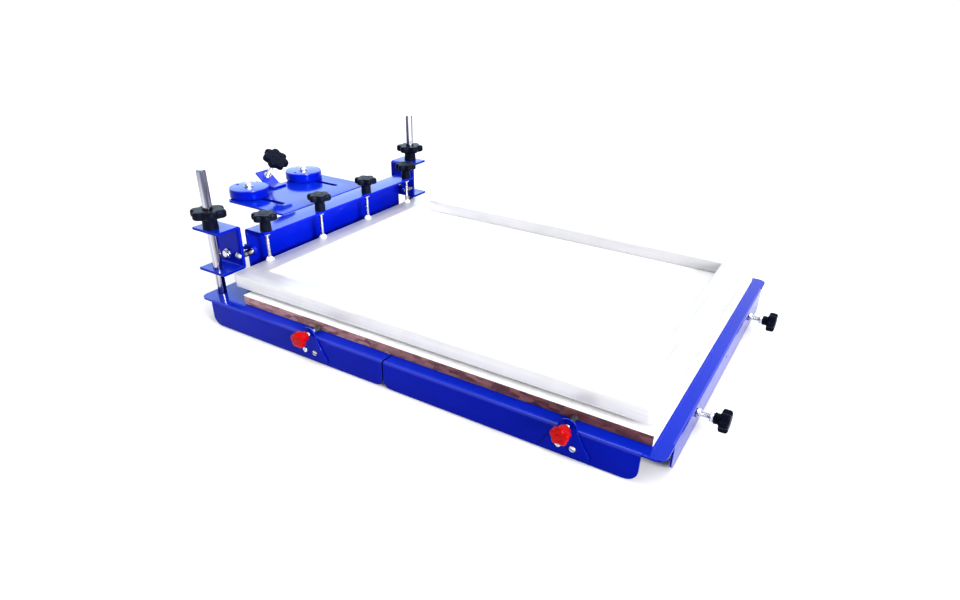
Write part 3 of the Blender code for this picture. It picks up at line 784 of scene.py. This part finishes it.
def base_panel(node, front):
    """Half of the folded base: one skin with rounded bends, given the sheet's thickness inwards."""
    low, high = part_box(node)
    centre = (low.x + high.x) / 2.0
    half = (high.x - low.x) / 2.0
    length = high.y - low.y
    drop = high.z - low.z
    edge = low.y if front else high.y
    sign = 1.0 if front else -1.0
    reach = half - END_FLANGE_INSET
    mesh = bmesh.new()

    start = [(-half, FLANGE_START), (-half, 0.0), (-half + TOP_CORNER, 0.0)]
    corner = round_off(start, 0.999 * TOP_CORNER, 10)
    left = [(-half + BEND, length), (-half + BEND, FLANGE_START), *corner, (-reach, 0.0), (-reach, BEND)]
    outline = left + [(-u, v) for u, v in reversed(left)]
    holes = panel_holes(front, centre, edge, sign)
    flat_face(mesh, lambda u, v: (centre + u, edge + sign * v, high.z), outline, holes)

    for side in (-1.0, 1.0):
        def side_bend(along, out, down, side=side):
            return (centre + side * (half - BEND + out), edge + sign * along, high.z - down)

        def side_face(v, w, side=side):
            return (centre + side * half, edge + sign * v, high.z - w)

        bend(mesh, side_bend, FLANGE_START, length)
        corners = oblong(FLANGE_START, BEND, length, drop)
        flat_face(mesh, side_face, round_off(corners, [0.0, 0.0, SEAM_CORNER, FLANGE_CORNER], 8, closed=True))

    def end_bend(along, out, down):
        return (centre + along, edge + sign * (BEND - out), high.z - down)

    bend(mesh, end_bend, -reach, reach)
    corners = oblong(-reach, BEND, reach, drop)
    bores = []
    if front:
        for side in SIDES:
            screw = middle(f"front_screw_{side}")
            bores.append(circle(screw.x - centre, high.z - screw.z, 3.4 * MM))
        bores.append(circle(0.0, 8.4 * MM, 2.2 * MM))
    outline = round_off(corners, [0.0, 0.0, FLANGE_CORNER, FLANGE_CORNER], 8, closed=True)
    flat_face(mesh, lambda u, w: (centre + u, edge, high.z - w), outline, bores)

    face_outwards(mesh, (centre, edge + sign * length, low.z - 0.3))
    made = piece(f"{node}_folded", mesh, PAINT, "base", node, closed=False)
    thicken(made, SHEET)
    soften(made, 0.35 * MM, FOLDED)


def red_plate(name):
    """The flared plate that carries a red screw, with its two slotted fixing screws."""
    node = f"red_plate_{name}"
    low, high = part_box(node)
    screw = middle(f"red_screw_{name}")
    foot = low.z
    top = high.z
    right = [(26.0 * MM, foot), (26.0 * MM, foot + 4.0 * MM)]
    for i in range(1, 9):
        share = 1.0 - i / 8.0
        right.append((10.0 * MM + 16.0 * MM * share**1.3, screw.z - (screw.z - foot - 4.0 * MM) * share))
    turns = [math.pi * i / 18.0 for i in range(1, 18)]
    dome = [(10.0 * MM * math.cos(turn), screw.z + (top - screw.z) * math.sin(turn)) for turn in turns]
    outline = [*right, *dome, *[(-u, v) for u, v in reversed(right)]]
    fixings = [(-7.8 * MM, foot + 9.5 * MM), (7.8 * MM, foot + 9.5 * MM)]
    holes = [circle(0.0, screw.z, 2.8 * MM), *[circle(u, v, 2.1 * MM, 24) for u, v in fixings]]
    mesh = prism(outline, lambda u, v, x: (x, screw.y + u, v), low.x, high.x, holes)
    piece(f"{node}_flared", mesh, PAINT, "base", node, 0.35 * MM, FOLDED)
    for i, (u, v) in enumerate(fixings):
        slotted_screw(f"{node}_fixing_{i + 1}", (low.x, screw.y + u, v), (-1.0, 0.0, 0.0), 25.0 + 70.0 * i)


def slotted_screw(name, point, direction, turn):
    """A slotted pan-head screw that stands on a face."""
    profile = mm((0.0, -2.2), (1.95, -2.2), (1.95, 0.05), (3.4, 0.05), (3.5, 0.9))
    profile += mm((2.9, 1.8), (1.6, 2.2), (0.0, 2.3))
    point = Vector(point)
    direction = Vector(direction)
    made = piece(name, aim(lathe(profile, 36), point, direction), STEEL, "base")
    across = direction.orthogonal()
    across.rotate(Matrix.Rotation(math.radians(turn), 3, direction))
    side = direction.cross(across)

    def to_space(u, v, level):
        return point + across * u + side * v + direction * level

    bar = mm(*oblong(-5.0, -0.6, 5.0, 0.6))
    carve(made, [prism(bar, to_space, 0.7 * MM, 4.0 * MM)], 0.12 * MM)


def rubber_foot(node):
    """A tapered rubber foot with a rib, a recess underneath and its screw and washer in it."""
    height = height_of(node)
    side = mm((5.6, 4.0), (5.6, 0.0), (9.6, 0.0), (10.2, 1.4))
    side += [(11.6 * MM, height * 0.45), (12.2 * MM, height * 0.5), (11.9 * MM, height * 0.55)]
    side += [(12.9 * MM, height), (0.0, height)]
    profile = [(0.0, 4.0 * MM), *round_off(side, 0.6 * MM, 3)]
    piece(f"{node}_ribbed", aim(lathe(profile, 56), base_of(node), UP), RUBBER, "base", node)
    steel(f"{node}_washer", washer(5.2 * MM, 2.2 * MM, 0.9 * MM), base_of(node, 3.9 * MM), -UP, "base")
    slotted_screw(f"{node}_screw", base_of(node, 3.0 * MM), -UP, 30.0)


def base():
    base_panel("base_front_panel", True)
    base_panel("base_rear_panel", False)
    dress("base_joining_plate", PAINT, 0.4 * MM)
    for node in ("carriage_keeper_left", "carriage_keeper_right", "board_carriage"):
        dress(node, STEEL, 0.3 * MM)
    for name in ("rear", "front"):
        red_plate(name)
    for end in ("front", "rear"):
        for side in SIDES:
            rubber_foot(f"foot_{end}_{side}")
    joining_bolts()


def joining_bolts():
    """Bolt heads under the plate that joins the base panels, and under each carriage keeper."""
    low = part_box("base_joining_plate")[0]
    centre = middle("base_joining_plate")
    number = 0
    for x in (-190.0, -70.0, 70.0, 190.0):
        for y in (-24.0, 24.0):
            number += 1
            point = (centre.x + x * MM, centre.y + y * MM, low.z)
            steel(f"joining_bolt_{number}", hexagon(HEX, 4.0 * MM), point, -UP, "base")
    for side in SIDES:
        low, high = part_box(f"carriage_keeper_{side}")
        centre = (low + high) / 2.0
        for i, y in enumerate((low.y + 4.0 * MM, high.y - 4.0 * MM)):
            head = hexagon(6.0 * MM, 2.6 * MM, chamfer=0.5 * MM)
            steel(f"keeper_bolt_{side}_{i + 1}", head, (centre.x, y, high.z - 2.0 * MM), -UP, "base")


# ---- Board ----

def board():
    """A chipboard core with laminate on top, and a laminate strip along its front edge."""
    low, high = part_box("board")
    centre = (low + high) / 2.0
    half_x = (high.x - low.x) / 2.0
    half_y = (high.y - low.y) / 2.0

    def plate(inset_front, inset):
        corners = oblong(-half_x + inset, -half_y + inset_front, half_x - inset, half_y - inset)
        return round_off(corners, 1.2 * MM, 4, closed=True)

    def to_space(u, v, z):
        return (centre.x + u, centre.y + v, z)

    skin = LAMINATE_T
    core = prism(plate(skin, 0.1 * MM), to_space, low.z, high.z - skin)
    made = piece("board_core", core, CORE, "board", "board")
    bar = middle("board_carriage")
    cutters = []
    for x in (bar.x - STUD_X, bar.x + STUD_X):
        outline = slot_outline(x, bar.y, 10.7 * MM, 5.3 * MM, 5.2 * MM)
        cutters.append(prism(outline, as_given, low.z - 2.0 * MM, low.z + 8.2 * MM))
    carve(made, cutters, 0.15 * MM)
    top = prism(plate(skin, 0.0), to_space, high.z - skin, high.z)
    piece("board_laminate_top", top, LAMINATE, "board", bevel=0.3 * MM)
    strip = oblong(-half_x, -half_y, half_x, -half_y + skin)
    piece("board_front_edging", prism(strip, to_space, low.z, high.z), LAMINATE, "board", bevel=0.3 * MM)


# ---- Registration screws ----

def knob(node, lobes, look, hub_share, hub_radius, bore=0.0, flip=1.0, depth=0.24):
    """A star knob in place of its CAD node, about its joint's axis."""
    joint = f"{node}_spin"
    point = joint_place(joint)
    direction = Vector(JOINTS[joint]["axis"]) * flip
    start, end, reach = measure(node, direction, point)
    height = end - start
    cap = 0.0 if bore else 0.25 * MM
    mesh = star_knob(reach, height - cap, hub_radius, height * hub_share, lobes, depth, bore)
    piece(f"{node}_moulded", aim(mesh, point + direction * start, direction), look, BODY_OF[node], node)


def front_screws():
    """Fine screws through the front flange, each with a lock nut at the knob and a nut on the flange."""
    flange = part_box("base_front_panel")[0].y
    axis = Vector((0.0, 1.0, 0.0))
    for side in SIDES:
        node = f"front_screw_{side}"
        body = BODY_OF[node]
        point = joint_place(f"front_knob_{side}_spin")
        start, end, _ = measure(node, axis, point)
        rod = threaded(3.0 * MM, end - start, 1.0 * MM)
        steel(f"{node}_threaded", rod, point + axis * start, axis, body, node)
        lock = hexagon(HEX, 4.0 * MM, 2.9 * MM)
        steel(f"front_lock_nut_{side}", lock, point + axis * 0.35 * MM, axis, body)
        seat = Vector((point.x, flange - 0.02 * MM, point.z))
        steel(f"front_flange_nut_{side}", hexagon(HEX, 4.6 * MM, 3.15 * MM), seat, -axis, "base")
        knob(f"front_knob_{side}", 6, BLACK, 0.36, 6.2 * MM, flip=-1.0)


def red_screws():
    """Side screws with a black rubber tip on the board's edge, and their red knobs."""
    axis = Vector((-1.0, 0.0, 0.0))
    for name in ("rear", "front"):
        node = f"red_screw_{name}"
        body = BODY_OF[node]
        point = joint_place(f"red_knob_{name}_spin")
        start, end, _ = measure(node, axis, point)
        tip = 9.0 * MM
        rod = threaded(2.5 * MM, end - start - tip, 0.8 * MM)
        steel(f"{node}_threaded", rod, point + axis * (start + tip), axis, body, node)
        side = mm((0.0, 0.0), (3.3, 0.0), (3.3, 2.6), (2.9, 3.4)) + [(2.9 * MM, tip), (0.0, tip)]
        side = round_off(side, 0.6 * MM, 4)
        piece(f"red_screw_tip_{name}", aim(lathe(side, 32), point + axis * start, axis), RUBBER, body)
        knob(f"red_knob_{name}", 5, RED, 0.40, 6.0 * MM, flip=-1.0, depth=0.20)


# ---- Posts and lift brackets ----

def posts():
    """Chromed posts with a turned top, and the nuts that hold them under the base."""
    for side in SIDES:
        node = f"post_{side}"
        low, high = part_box(node)
        height = high.z - low.z
        radius = (high.x - low.x) / 2.0
        line = [(0.0, 0.0), (radius - 1.0 * MM, 0.0), (radius, 1.0 * MM)]
        line += [(radius, height - 1.3 * MM), (radius - 1.2 * MM, height), (0.0, height)]
        bar = lathe(round_off(line, 0.5 * MM, 3), 72)
        piece(f"{node}_chromed", aim(bar, base_of(node), UP), CHROME, "base", node)
        node = f"post_nut_{side}"
        nut = hexagon(19.0 * MM, height_of(node), 6.1 * MM, 1.3 * MM)
        steel(f"{node}_hex", nut, base_of(node), UP, "base", node)


def lift_bracket(side):
    """A folded bracket with rounded bends, bored for its post and its two bolts."""
    sign = -1.0 if side == "left" else 1.0
    node = f"lift_bracket_{side}"
    low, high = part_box(node)
    body = BODY_OF[node]
    inner, outer = (high.x, low.x) if sign < 0.0 else (low.x, high.x)
    web = inner + sign * BRACKET_WEB
    outline = [
        (inner, low.z),
        (outer, low.z),
        (outer, low.z + BRACKET_T),
        (web, low.z + BRACKET_T),
        (web, high.z - BRACKET_T),
        (outer, high.z - BRACKET_T),
        (outer, high.z),
        (inner, high.z),
    ]
    outer_bend, inner_bend = 4.2 * MM, 1.2 * MM
    radii = [outer_bend, 0.0, 0.0, inner_bend, inner_bend, 0.0, 0.0, outer_bend]
    outline = round_off(outline, radii, 6, closed=True)
    mesh = prism(outline, lambda u, v, y: (u, y, v), low.y, high.y)
    made = piece(f"{node}_folded", mesh, PAINT, body, node)
    post = post_place(side)
    pivot = middle(f"pivot_bolt_{side}")
    stop = middle(f"stop_bolt_{side}")
    across = (1.0, 0.0, 0.0)
    cutters = [
        drill((post.x, post.y, post.z), UP, 6.35 * MM, 0.2, 56),
        drill((inner, pivot.y, pivot.z), across, 4.3 * MM, DRILL_REACH),
        drill((inner, stop.y, stop.z), across, 4.3 * MM, DRILL_REACH),
    ]
    carve(made, cutters, 0.4 * MM)


def lift_fixings(side):
    """The post knob with its retaining ring, and the bolts in the bracket's web."""
    sign = -1.0 if side == "left" else 1.0
    inward = Vector((-sign, 0.0, 0.0))
    body = BODY_OF[f"lift_bracket_{side}"]
    post = post_place(side)
    knob(f"post_knob_{side}", 6, BLACK, 0.58, 10.0 * MM, bore=6.25 * MM, depth=0.22)
    node = f"post_ring_{side}"
    ring = washer(9.0 * MM, 6.3 * MM, height_of(node))
    steel(f"{node}_turned", ring, (post.x, post.y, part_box(node)[0].z), UP, body, node)

    low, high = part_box(f"lift_bracket_{side}")
    inner = high.x if sign < 0.0 else low.x
    face = inner + sign * BRACKET_WEB
    pivot_bolt(side, body, inner, face, inward)
    stop_bolt(side, body, inner, face, inward)


def pivot_bolt(side, body, inner, face, inward):
    """The bolt the channel hinges on, with a domed head and a spacer."""
    node = f"pivot_bolt_{side}"
    pivot = middle(node)
    end = measure(node, inward, (face, pivot.y, pivot.z))[1]
    seat = Vector((face, pivot.y, pivot.z)) - inward * SLACK
    shank = threaded(4.0 * MM, end - 1.6 * MM, 1.25 * MM, 0.45 * MM)
    steel(f"{node}_threaded", shank, seat, inward, body, node)
    dome = round_off(mm((0.0, 0.0), (5.2, 0.0), (5.2, 1.4), (3.6, 3.2), (0.0, 3.9)), 0.9 * MM, 4)
    steel(f"pivot_head_{side}", lathe(dome, 40), seat - inward * 0.3 * MM, -inward, body)
    spacer = Vector((inner, pivot.y, pivot.z)) + inward * 0.3 * MM
    gap = end - 8.2 * MM - BRACKET_WEB - 0.6 * MM
    tube = aim(washer(4.7 * MM, 4.05 * MM, gap), spacer, inward)
    piece(f"pivot_spacer_{side}", tube, CHROME, body)


def stop_bolt(side, body, inner, face, inward):
    """The longer bolt beside the pivot, with its head, washer and nut."""
    node = f"stop_bolt_{side}"
    stop = middle(node)
    end = measure(node, inward, (face, stop.y, stop.z))[1]
    seat = Vector((face, stop.y, stop.z)) - inward * SLACK
    shank = threaded(4.0 * MM, end + STOP_EXTRA, 1.25 * MM, 0.3 * MM)
    steel(f"{node}_threaded", shank, seat, inward, body, node)
    steel(f"stop_washer_{side}", washer(6.6 * MM, 4.2 * MM, 1.1 * MM), seat, -inward, body)
    steel(f"stop_head_{side}", hexagon(9.6 * MM, 4.0 * MM), seat - inward * 1.1 * MM, -inward, body)
    nut = Vector((inner, stop.y, stop.z)) + inward * SLACK
    steel(f"stop_nut_{side}", hexagon(HEX, 4.6 * MM, 4.05 * MM), nut, inward, body)


# ---- Clamp beam, clamp screws, weights ----

def clamp_beam():
    """The channel open to the front with rounded bends, and the ear welded on each of its ends."""
    low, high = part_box("clamp_beam")
    pivot = joint_place("screen_hinge")
    rear = low.y + BEAM_DEPTH
    outline = [
        (low.y, low.z),
        (rear, low.z),
        (rear, high.z),
        (low.y, high.z),
        (low.y, high.z - BEAM_T),
        (rear - BEAM_T, high.z - BEAM_T),
        (rear - BEAM_T, low.z + BEAM_T),
        (low.y, low.z + BEAM_T),
    ]
    outer_bend, inner_bend = 3.8 * MM, 1.0 * MM
    radii = [0.0, outer_bend, outer_bend, 0.0, 0.0, inner_bend, inner_bend, 0.0]
    outline = round_off(outline, radii, 6, closed=True)

    def to_space(u, v, x):
        return (x, u, v)

    mesh = prism(outline, to_space, low.x + EAR_T, high.x - EAR_T)
    made = piece("clamp_beam_folded", mesh, PAINT, "clamp", "clamp_beam")
    cutters = []
    for i in range(4):
        screw = middle(f"clamp_screw_{i + 1}")
        cutters.append(drill((screw.x, screw.y, high.z), UP, 2.9 * MM, 8.0 * MM))
    carve(made, cutters, 0.4 * MM)
    ear = [(rear, pivot.z - EAR_RADIUS), (rear, pivot.z + EAR_RADIUS), (pivot.y, pivot.z + EAR_RADIUS)]
    turns = [math.radians(90.0 + 15.0 * i) for i in range(1, 12)]
    ear += [polar(pivot.y, pivot.z, EAR_RADIUS, turn) for turn in turns]
    ear.append((pivot.y, pivot.z - EAR_RADIUS))
    for name, inner, outer in (("left", low.x + EAR_T, low.x), ("right", high.x - EAR_T, high.x)):
        mesh = prism(ear, to_space, inner, outer, [circle(pivot.y, pivot.z, 4.15 * MM)])
        piece(f"beam_ear_{name}", mesh, PAINT, "clamp", bevel=0.3 * MM, angle=FOLDED)


def clamp_screws():
    """Four threaded screws with swivel feet, star knobs and a nut under the beam's top."""
    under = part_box("clamp_beam")[1].z - BEAM_T
    for i in range(1, 5):
        node = f"clamp_screw_{i}"
        body = BODY_OF[node]
        centre = middle(node)
        rod = threaded(2.5 * MM, height_of(node) + 1.5 * MM, 0.8 * MM, 0.32 * MM)
        steel(f"{node}_threaded", rod, base_of(node, -1.5 * MM), UP, body, node)
        node = f"clamp_foot_{i}"
        height = height_of(node)
        side = mm((0.0, 0.0), (5.6, 0.0), (5.6, 1.5), (4.3, 2.3)) + [(3.5 * MM, height), (0.0, height)]
        foot = lathe(round_off(side, 0.5 * MM, 4), 48)
        foot_point = (centre.x, centre.y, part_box(node)[0].z)
        piece(f"{node}_turned", aim(foot, foot_point, UP), NYLON, body, node)
        nut = hexagon(8.0 * MM, 4.0 * MM, 2.7 * MM, 0.7 * MM)
        steel(f"clamp_nut_{i}", nut, (centre.x, centre.y, under - 0.1 * MM), -UP, "clamp")
        knob(f"clamp_knob_{i}", 6, BLACK, 0.60, 7.6 * MM)


def weight_plate():
    """The slotted plate behind the beam: one skin with its front lip folded down."""
    low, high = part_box("weight_plate")
    centre = (low.x + high.x) / 2.0
    half = (high.x - low.x) / 2.0
    front = low.y + PLATE_GAP
    corners = oblong(-half, front + BEND, half, high.y)
    outline = round_off(corners, [0.0, 0.0, PLATE_CORNER, PLATE_CORNER], 8, closed=True)
    holes = []
    for side in SIDES:
        bolt = middle(f"weight_bolt_{side}")
        slot_y = bolt.y + SLOT_AHEAD + SLOT_HALF_WIDTH - SLOT_HALF_LENGTH
        holes.append(slot_outline(bolt.x - centre, slot_y, SLOT_HALF_WIDTH, SLOT_HALF_LENGTH, 4.15 * MM))
        slot_shade_tray(side, bolt.x, slot_y, high.z - PLATE_T)
    mesh = bmesh.new()
    flat_face(mesh, lambda u, v: (centre + u, v, high.z), outline, holes)
    bend(mesh, lambda along, out, down: (centre + along, front + BEND - out, high.z - down), -half, half)
    lip = round_off(oblong(-half, BEND, half, high.z - low.z), [0.0, 0.0, 3.0 * MM, 3.0 * MM], 4, closed=True)
    flat_face(mesh, lambda u, w: (centre + u, front, high.z - w), lip)
    face_outwards(mesh, (centre, high.y + 0.2, low.z - 0.3))
    made = piece("weight_plate_folded", mesh, PAINT, "clamp", "weight_plate", closed=False)
    thicken(made, PLATE_T)
    soften(made, 0.4 * MM, FOLDED)
    # Painted shade, partly real: a black rubber strip packs the gap between the beam and the plate's lip, and its
    # black stands in for the shade of that gap.
    packing_and_shade = oblong(-half, low.z + 0.6 * MM, half, high.z - 1.6 * MM)
    strip = prism(packing_and_shade, lambda u, w, y: (centre + u, y, w), low.y + 0.1 * MM, front - 0.1 * MM)
    piece("plate_packing", strip, RUBBER, "clamp", bevel=0.3 * MM)


def slot_shade_tray(side, x, y, top):
    """A shallow black tray under a slot, which the weight's bolt head slides in; it is painted shade, so that the
    slot reads dark.
    """
    floor = top - TRAY_DEPTH
    outer = slot_outline(x, y, 9.5 * MM, SLOT_HALF_LENGTH + 5.3 * MM, 9.4 * MM)
    inner = slot_outline(x, y, 8.4 * MM, SLOT_HALF_LENGTH + 4.2 * MM, 8.3 * MM)
    # Painted shade: the black tray and its floor stand in for the shadow seen through the slot.
    piece(f"slot_guard_{side}", prism(outer, as_given, floor, top, [inner]), BLACK, "clamp")
    piece(f"slot_guard_base_{side}", prism(outer, as_given, floor - 1.0 * MM, floor), BLACK, "clamp")


def weights():
    """Turned weights with a threaded handling hole, on carriage bolts with washers and nuts."""
    for side, turn in (("left", 100.0), ("right", 185.0)):
        node = f"weight_{side}"
        body = BODY_OF[node]
        low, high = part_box(node)
        centre = middle(node)
        radius = (high.x - low.x) / 2.0
        profile = round_off(oblong(4.4 * MM, 0.0, radius, high.z - low.z), 1.5 * MM, 5)
        disc = aim(lathe(profile, 96, closed=True), base_of(node), UP)
        made = piece(f"{node}_turned", disc, PAINT, body, node)
        hole = (*polar(centre.x, centre.y, HANDLING_HOLE, math.radians(turn)), high.z)
        carve(made, [drill(hole, UP, 2.6 * MM, 9.0 * MM, 28)], 0.25 * MM)

        node = f"weight_bolt_{side}"
        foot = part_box(node)[0].z
        top = high.z
        head = lathe(round_off(mm((0.0, 0.0), (8.0, 1.4), (8.0, 3.0), (0.0, 3.0)), 0.8 * MM, 5), 40)
        rod = threaded(3.9 * MM, height_of(node) - 2.8 * MM, 1.25 * MM, 0.5 * MM)
        ring = washer(7.0 * MM, 4.1 * MM, 1.0 * MM)
        nut = hexagon(10.6 * MM, 3.6 * MM, 4.0 * MM)
        steel(f"weight_bolt_head_{side}", head, (centre.x, centre.y, foot), UP, body)
        steel(f"{node}_threaded", rod, (centre.x, centre.y, foot + 2.8 * MM), UP, body, node)
        steel(f"weight_washer_{side}", ring, (centre.x, centre.y, top + 0.02 * MM), UP, body)
        steel(f"weight_nut_{side}", nut, (centre.x, centre.y, top + 1.04 * MM), UP, body)


def tilt_stop():
    """The inclined strip, its nut, and the prop screw with a domed foot and its star knob."""
    dress("tilt_bracket", PAINT, 0.35 * MM)
    point = joint_place("tilt_knob_spin")
    axis = Vector(JOINTS["tilt_knob_spin"]["axis"]).normalized()
    start, end, _ = measure("tilt_screw", axis, point)
    foot = 5.0 * MM
    rod = threaded(3.0 * MM, end - start - foot, 1.0 * MM)
    body = BODY_OF["tilt_screw"]
    steel("tilt_screw_threaded", rod, point + axis * (start + foot), axis, body, "tilt_screw")
    side = mm((0.0, 0.0), (4.0, 0.3), (4.8, 1.6), (4.8, 4.2), (3.0, 6.0), (0.0, 6.0))
    tip = lathe(round_off(side, 0.8 * MM, 4), 40)
    piece("tilt_screw_foot", aim(tip, point + axis * start, axis), RUBBER, body)
    start, end, _ = measure("tilt_nut", axis, point)
    nut = hexagon(11.0 * MM, end - start, 3.2 * MM)
    steel("tilt_nut_hex", nut, point + axis * start, axis, "clamp", "tilt_nut")
    knob("tilt_knob", 7, BLACK, 0.40, 8.5 * MM, depth=0.20)


# ---- Screen ----

def screen_rails():
    """The screen's four mitred tube rails, each a closed bar with a hairline gap at its mitres."""
    low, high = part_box("screen_frame")
    centre = (low + high) / 2.0
    half = ((high.x - low.x) / 2.0, (high.y - low.y) / 2.0)
    height = high.z - low.z
    section = oblong(0.0, 0.0, RAIL_W, height)
    section = round_off(section, [0.8 * MM, 0.8 * MM, RAIL_EDGE, RAIL_EDGE], 4, closed=True)
    signs = [(1.0, 1.0), (-1.0, 1.0), (-1.0, -1.0), (1.0, -1.0)]
    steps = 5
    gap = 0.08 * MM

    def corner_points(index, inset, first, last):
        """Points round half a corner of the loop at an inset, from one share of it to another."""
        radius = max(RAIL_CORNER - inset, 1.0 * MM)
        sx, sy = signs[index % 4]
        cx = centre.x + sx * (half[0] - inset - radius)
        cy = centre.y + sy * (half[1] - inset - radius)
        points = []
        for k in range(steps + 1):
            angle = math.radians(90.0 * (index % 4) + 90.0 * (first + (last - first) * k / steps))
            points.append((cx + radius * math.cos(angle), cy + radius * math.sin(angle)))
        return points

    for index in range(4):
        mesh = bmesh.new()
        lanes = []
        pull = gap * signs[index][index % 2]
        for inset, z in section:
            line = corner_points(index, inset, 0.5, 1.0) + corner_points(index + 1, inset, 0.0, 0.5)
            (first_x, first_y), (last_x, last_y) = line[0], line[-1]
            if index % 2 == 0:
                line[0], line[-1] = (first_x - pull, first_y), (last_x + pull, last_y)
            else:
                line[0], line[-1] = (first_x, first_y - pull), (last_x, last_y + pull)
            lanes.append([mesh.verts.new((x, y, low.z + z)) for x, y in line])
        for i in range(len(lanes)):
            lane, other = lanes[i], lanes[(i + 1) % len(lanes)]
            for k in range(len(lane) - 1):
                mesh.faces.new((lane[k], lane[k + 1], other[k + 1], other[k]))
        mesh.faces.new([lane[0] for lane in lanes])
        mesh.faces.new([lane[-1] for lane in lanes])
        look = ALUMINIUM_X if index % 2 == 0 else ALUMINIUM_Y
        name = ("rear", "left", "front", "right")[index]
        piece(f"screen_rail_{name}", mesh, look, "screen", "screen_frame" if index == 0 else None, angle=30.0)
        weld_bead(index, signs[index], centre, half, low.z, height)


def weld_bead(index, sign, centre, half, bottom, height):
    """A rippled weld down the inside of a mitred corner."""
    rows = 34
    profile = [(0.0, 0.0)]
    for k in range(rows + 1):
        z = height * (0.06 + 0.88 * k / rows)
        profile.append((1.5 * MM + 0.3 * MM * math.sin(2.0 * math.pi * k / 6.0), z))
    profile.append((0.0, height * 0.96))
    inner_x = centre.x + sign[0] * (half[0] - RAIL_W - 0.2 * MM)
    inner_y = centre.y + sign[1] * (half[1] - RAIL_W - 0.2 * MM)
    bead = aim(lathe(profile, 20), (inner_x, inner_y, bottom), UP)
    piece(f"screen_weld_{index + 1}", bead, ALUMINIUM_Y, "screen", angle=60.0)


def screen_cloth():
    """The mesh stretched across the frame's underside, with a very slight belly in its middle."""
    low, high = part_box("screen_mesh")
    low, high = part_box("screen_mesh")
    columns, rows = 48, 62
    frame_low, frame_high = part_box("screen_frame")

    def share(place, first, last):
        """How far a place is from one rail's inner edge to the other's, from 0 to 1."""
        along = (place - first - RAIL_W) / (last - first - 2.0 * RAIL_W)
        return min(max(along, 0.0), 1.0)

    mesh = bmesh.new()
    lines = []
    for j in range(rows + 1):
        line = []
        for i in range(columns + 1):
            x = low.x + (high.x - low.x) * i / columns
            y = low.y + (high.y - low.y) * j / rows
            share_x = share(x, frame_low.x, frame_high.x)
            share_y = share(y, frame_low.y, frame_high.y)
            belly = math.sin(math.pi * share_x) * math.sin(math.pi * share_y)
            drop = CLOTH_BELLY * belly if share_x * share_y else 0.0
            line.append(mesh.verts.new((x, y, high.z - drop)))
        lines.append(line)
    for lower, upper in zip(lines, lines[1:]):
        for i in range(columns):
            mesh.faces.new((lower[i], lower[i + 1], upper[i + 1], upper[i]))
    cloth = piece("screen_cloth", mesh, CLOTH, "screen", "screen_mesh", closed=False)
    thicken(cloth, CLOTH_T, 60.0)


# ---- Stage ----

def studio_world():
    """A pale room: brighter overhead, with a broad white wall behind and a cool window in it."""
    world = bpy.data.worlds.new("studio")
    world.use_nodes = True
    nodes = Nodes(world.node_tree)
    way = nodes.node("ShaderNodeTexCoord").outputs["Generated"]
    total = 0.80
    zones = (
        (Vector((0.0, 0.0, 1.0)), 0.15, 0.90, 0.15),
        (Vector((0.78, 0.50, 0.38)).normalized(), 0.40, 0.85, 0.42),
        (Vector((0.66, 0.70, 0.29)).normalized(), 0.89, 0.985, 1.05),
    )
    for direction, start, full, strength in zones:
        facing = nodes.node("ShaderNodeVectorMath", {"operation": "DOT_PRODUCT"})
        nodes.fill(facing.inputs[0], way)
        nodes.fill(facing.inputs[1], direction)
        limits = {"From_Min": start, "From_Max": full, "To_Max": strength}
        settings = {"interpolation_type": "SMOOTHSTEP"}
        spread = nodes.node("ShaderNodeMapRange", settings, Value=facing.outputs["Value"], **limits)
        window = spread.outputs["Result"]
        total = nodes.math("ADD", window, total)
    background = world.node_tree.nodes["Background"]
    nodes.fill(background.inputs["Strength"], total)
    nodes.fill(background.inputs["Color"], nodes.mix(window, (1.0, 1.0, 1.0), (0.70, 0.89, 1.0)))
    bpy.context.scene.world = world


def stage():
    """A pale floor, soft studio light, and the camera."""
    mesh = bmesh.new()
    bmesh.ops.create_grid(mesh, x_segments=2, y_segments=2, size=30.0)
    floor = link_mesh("floor", mesh)
    floor.location.z = CAD_BOX[0].z - 0.02 * MM
    pale = Look("pale_floor", (0.90, 0.90, 0.90), 0.0, 0.9)
    pale.set("Specular IOR Level", 0.1)
    floor.data.materials.append(pale.material)

    studio_world()
    lights = (
        ("overhead", (0.05, -0.05, 1.75), (0.0, 0.0, 0.0), (0.7, 1.3), 5.0, 180.0),
        ("fill", (-0.95, -2.7, 0.95), (0.0, 0.0, 0.0), (1.3, 0.9), 88.0, 180.0),
        ("beam_light", (-0.40, -0.75, 0.45), (0.0, 0.27, 0.12), (0.3, 0.15), 0.55, 24.0),
    )
    for name, place, target, size, power, spread in lights:
        light = bpy.data.lights.new(name, "AREA")
        light.shape = "RECTANGLE"
        light.size, light.size_y = size
        light.energy = power
        light.spread = math.radians(spread)
        made = link(name, light)
        made.location = place
        made.visible_camera = False
        made.rotation_mode = "QUATERNION"
        made.rotation_quaternion = (Vector(target) - Vector(place)).to_track_quat("-Z", "Y")

    camera = bpy.data.cameras.new("camera")
    camera.sensor_width = 36.0
    camera.lens = 24.82
    camera.shift_x = 0.0056
    camera.shift_y = 0.0296
    made = link("camera", camera)
    made.location = (-0.72685, -0.45881, 0.42678)
    made.rotation_euler = (math.radians(61.613), math.radians(-0.996), math.radians(-58.552))
    bpy.context.scene.camera = made
    bpy.context.scene.view_settings.view_transform = "Standard"
    bpy.context.scene.view_settings.look = "Medium High Contrast"


stage()
base()
board()
front_screws()
red_screws()
posts()
for bracket_side in SIDES:
    lift_bracket(bracket_side)
    lift_fixings(bracket_side)
clamp_beam()
clamp_screws()
weight_plate()
weights()
tilt_stop()
screen_rails()
screen_cloth()
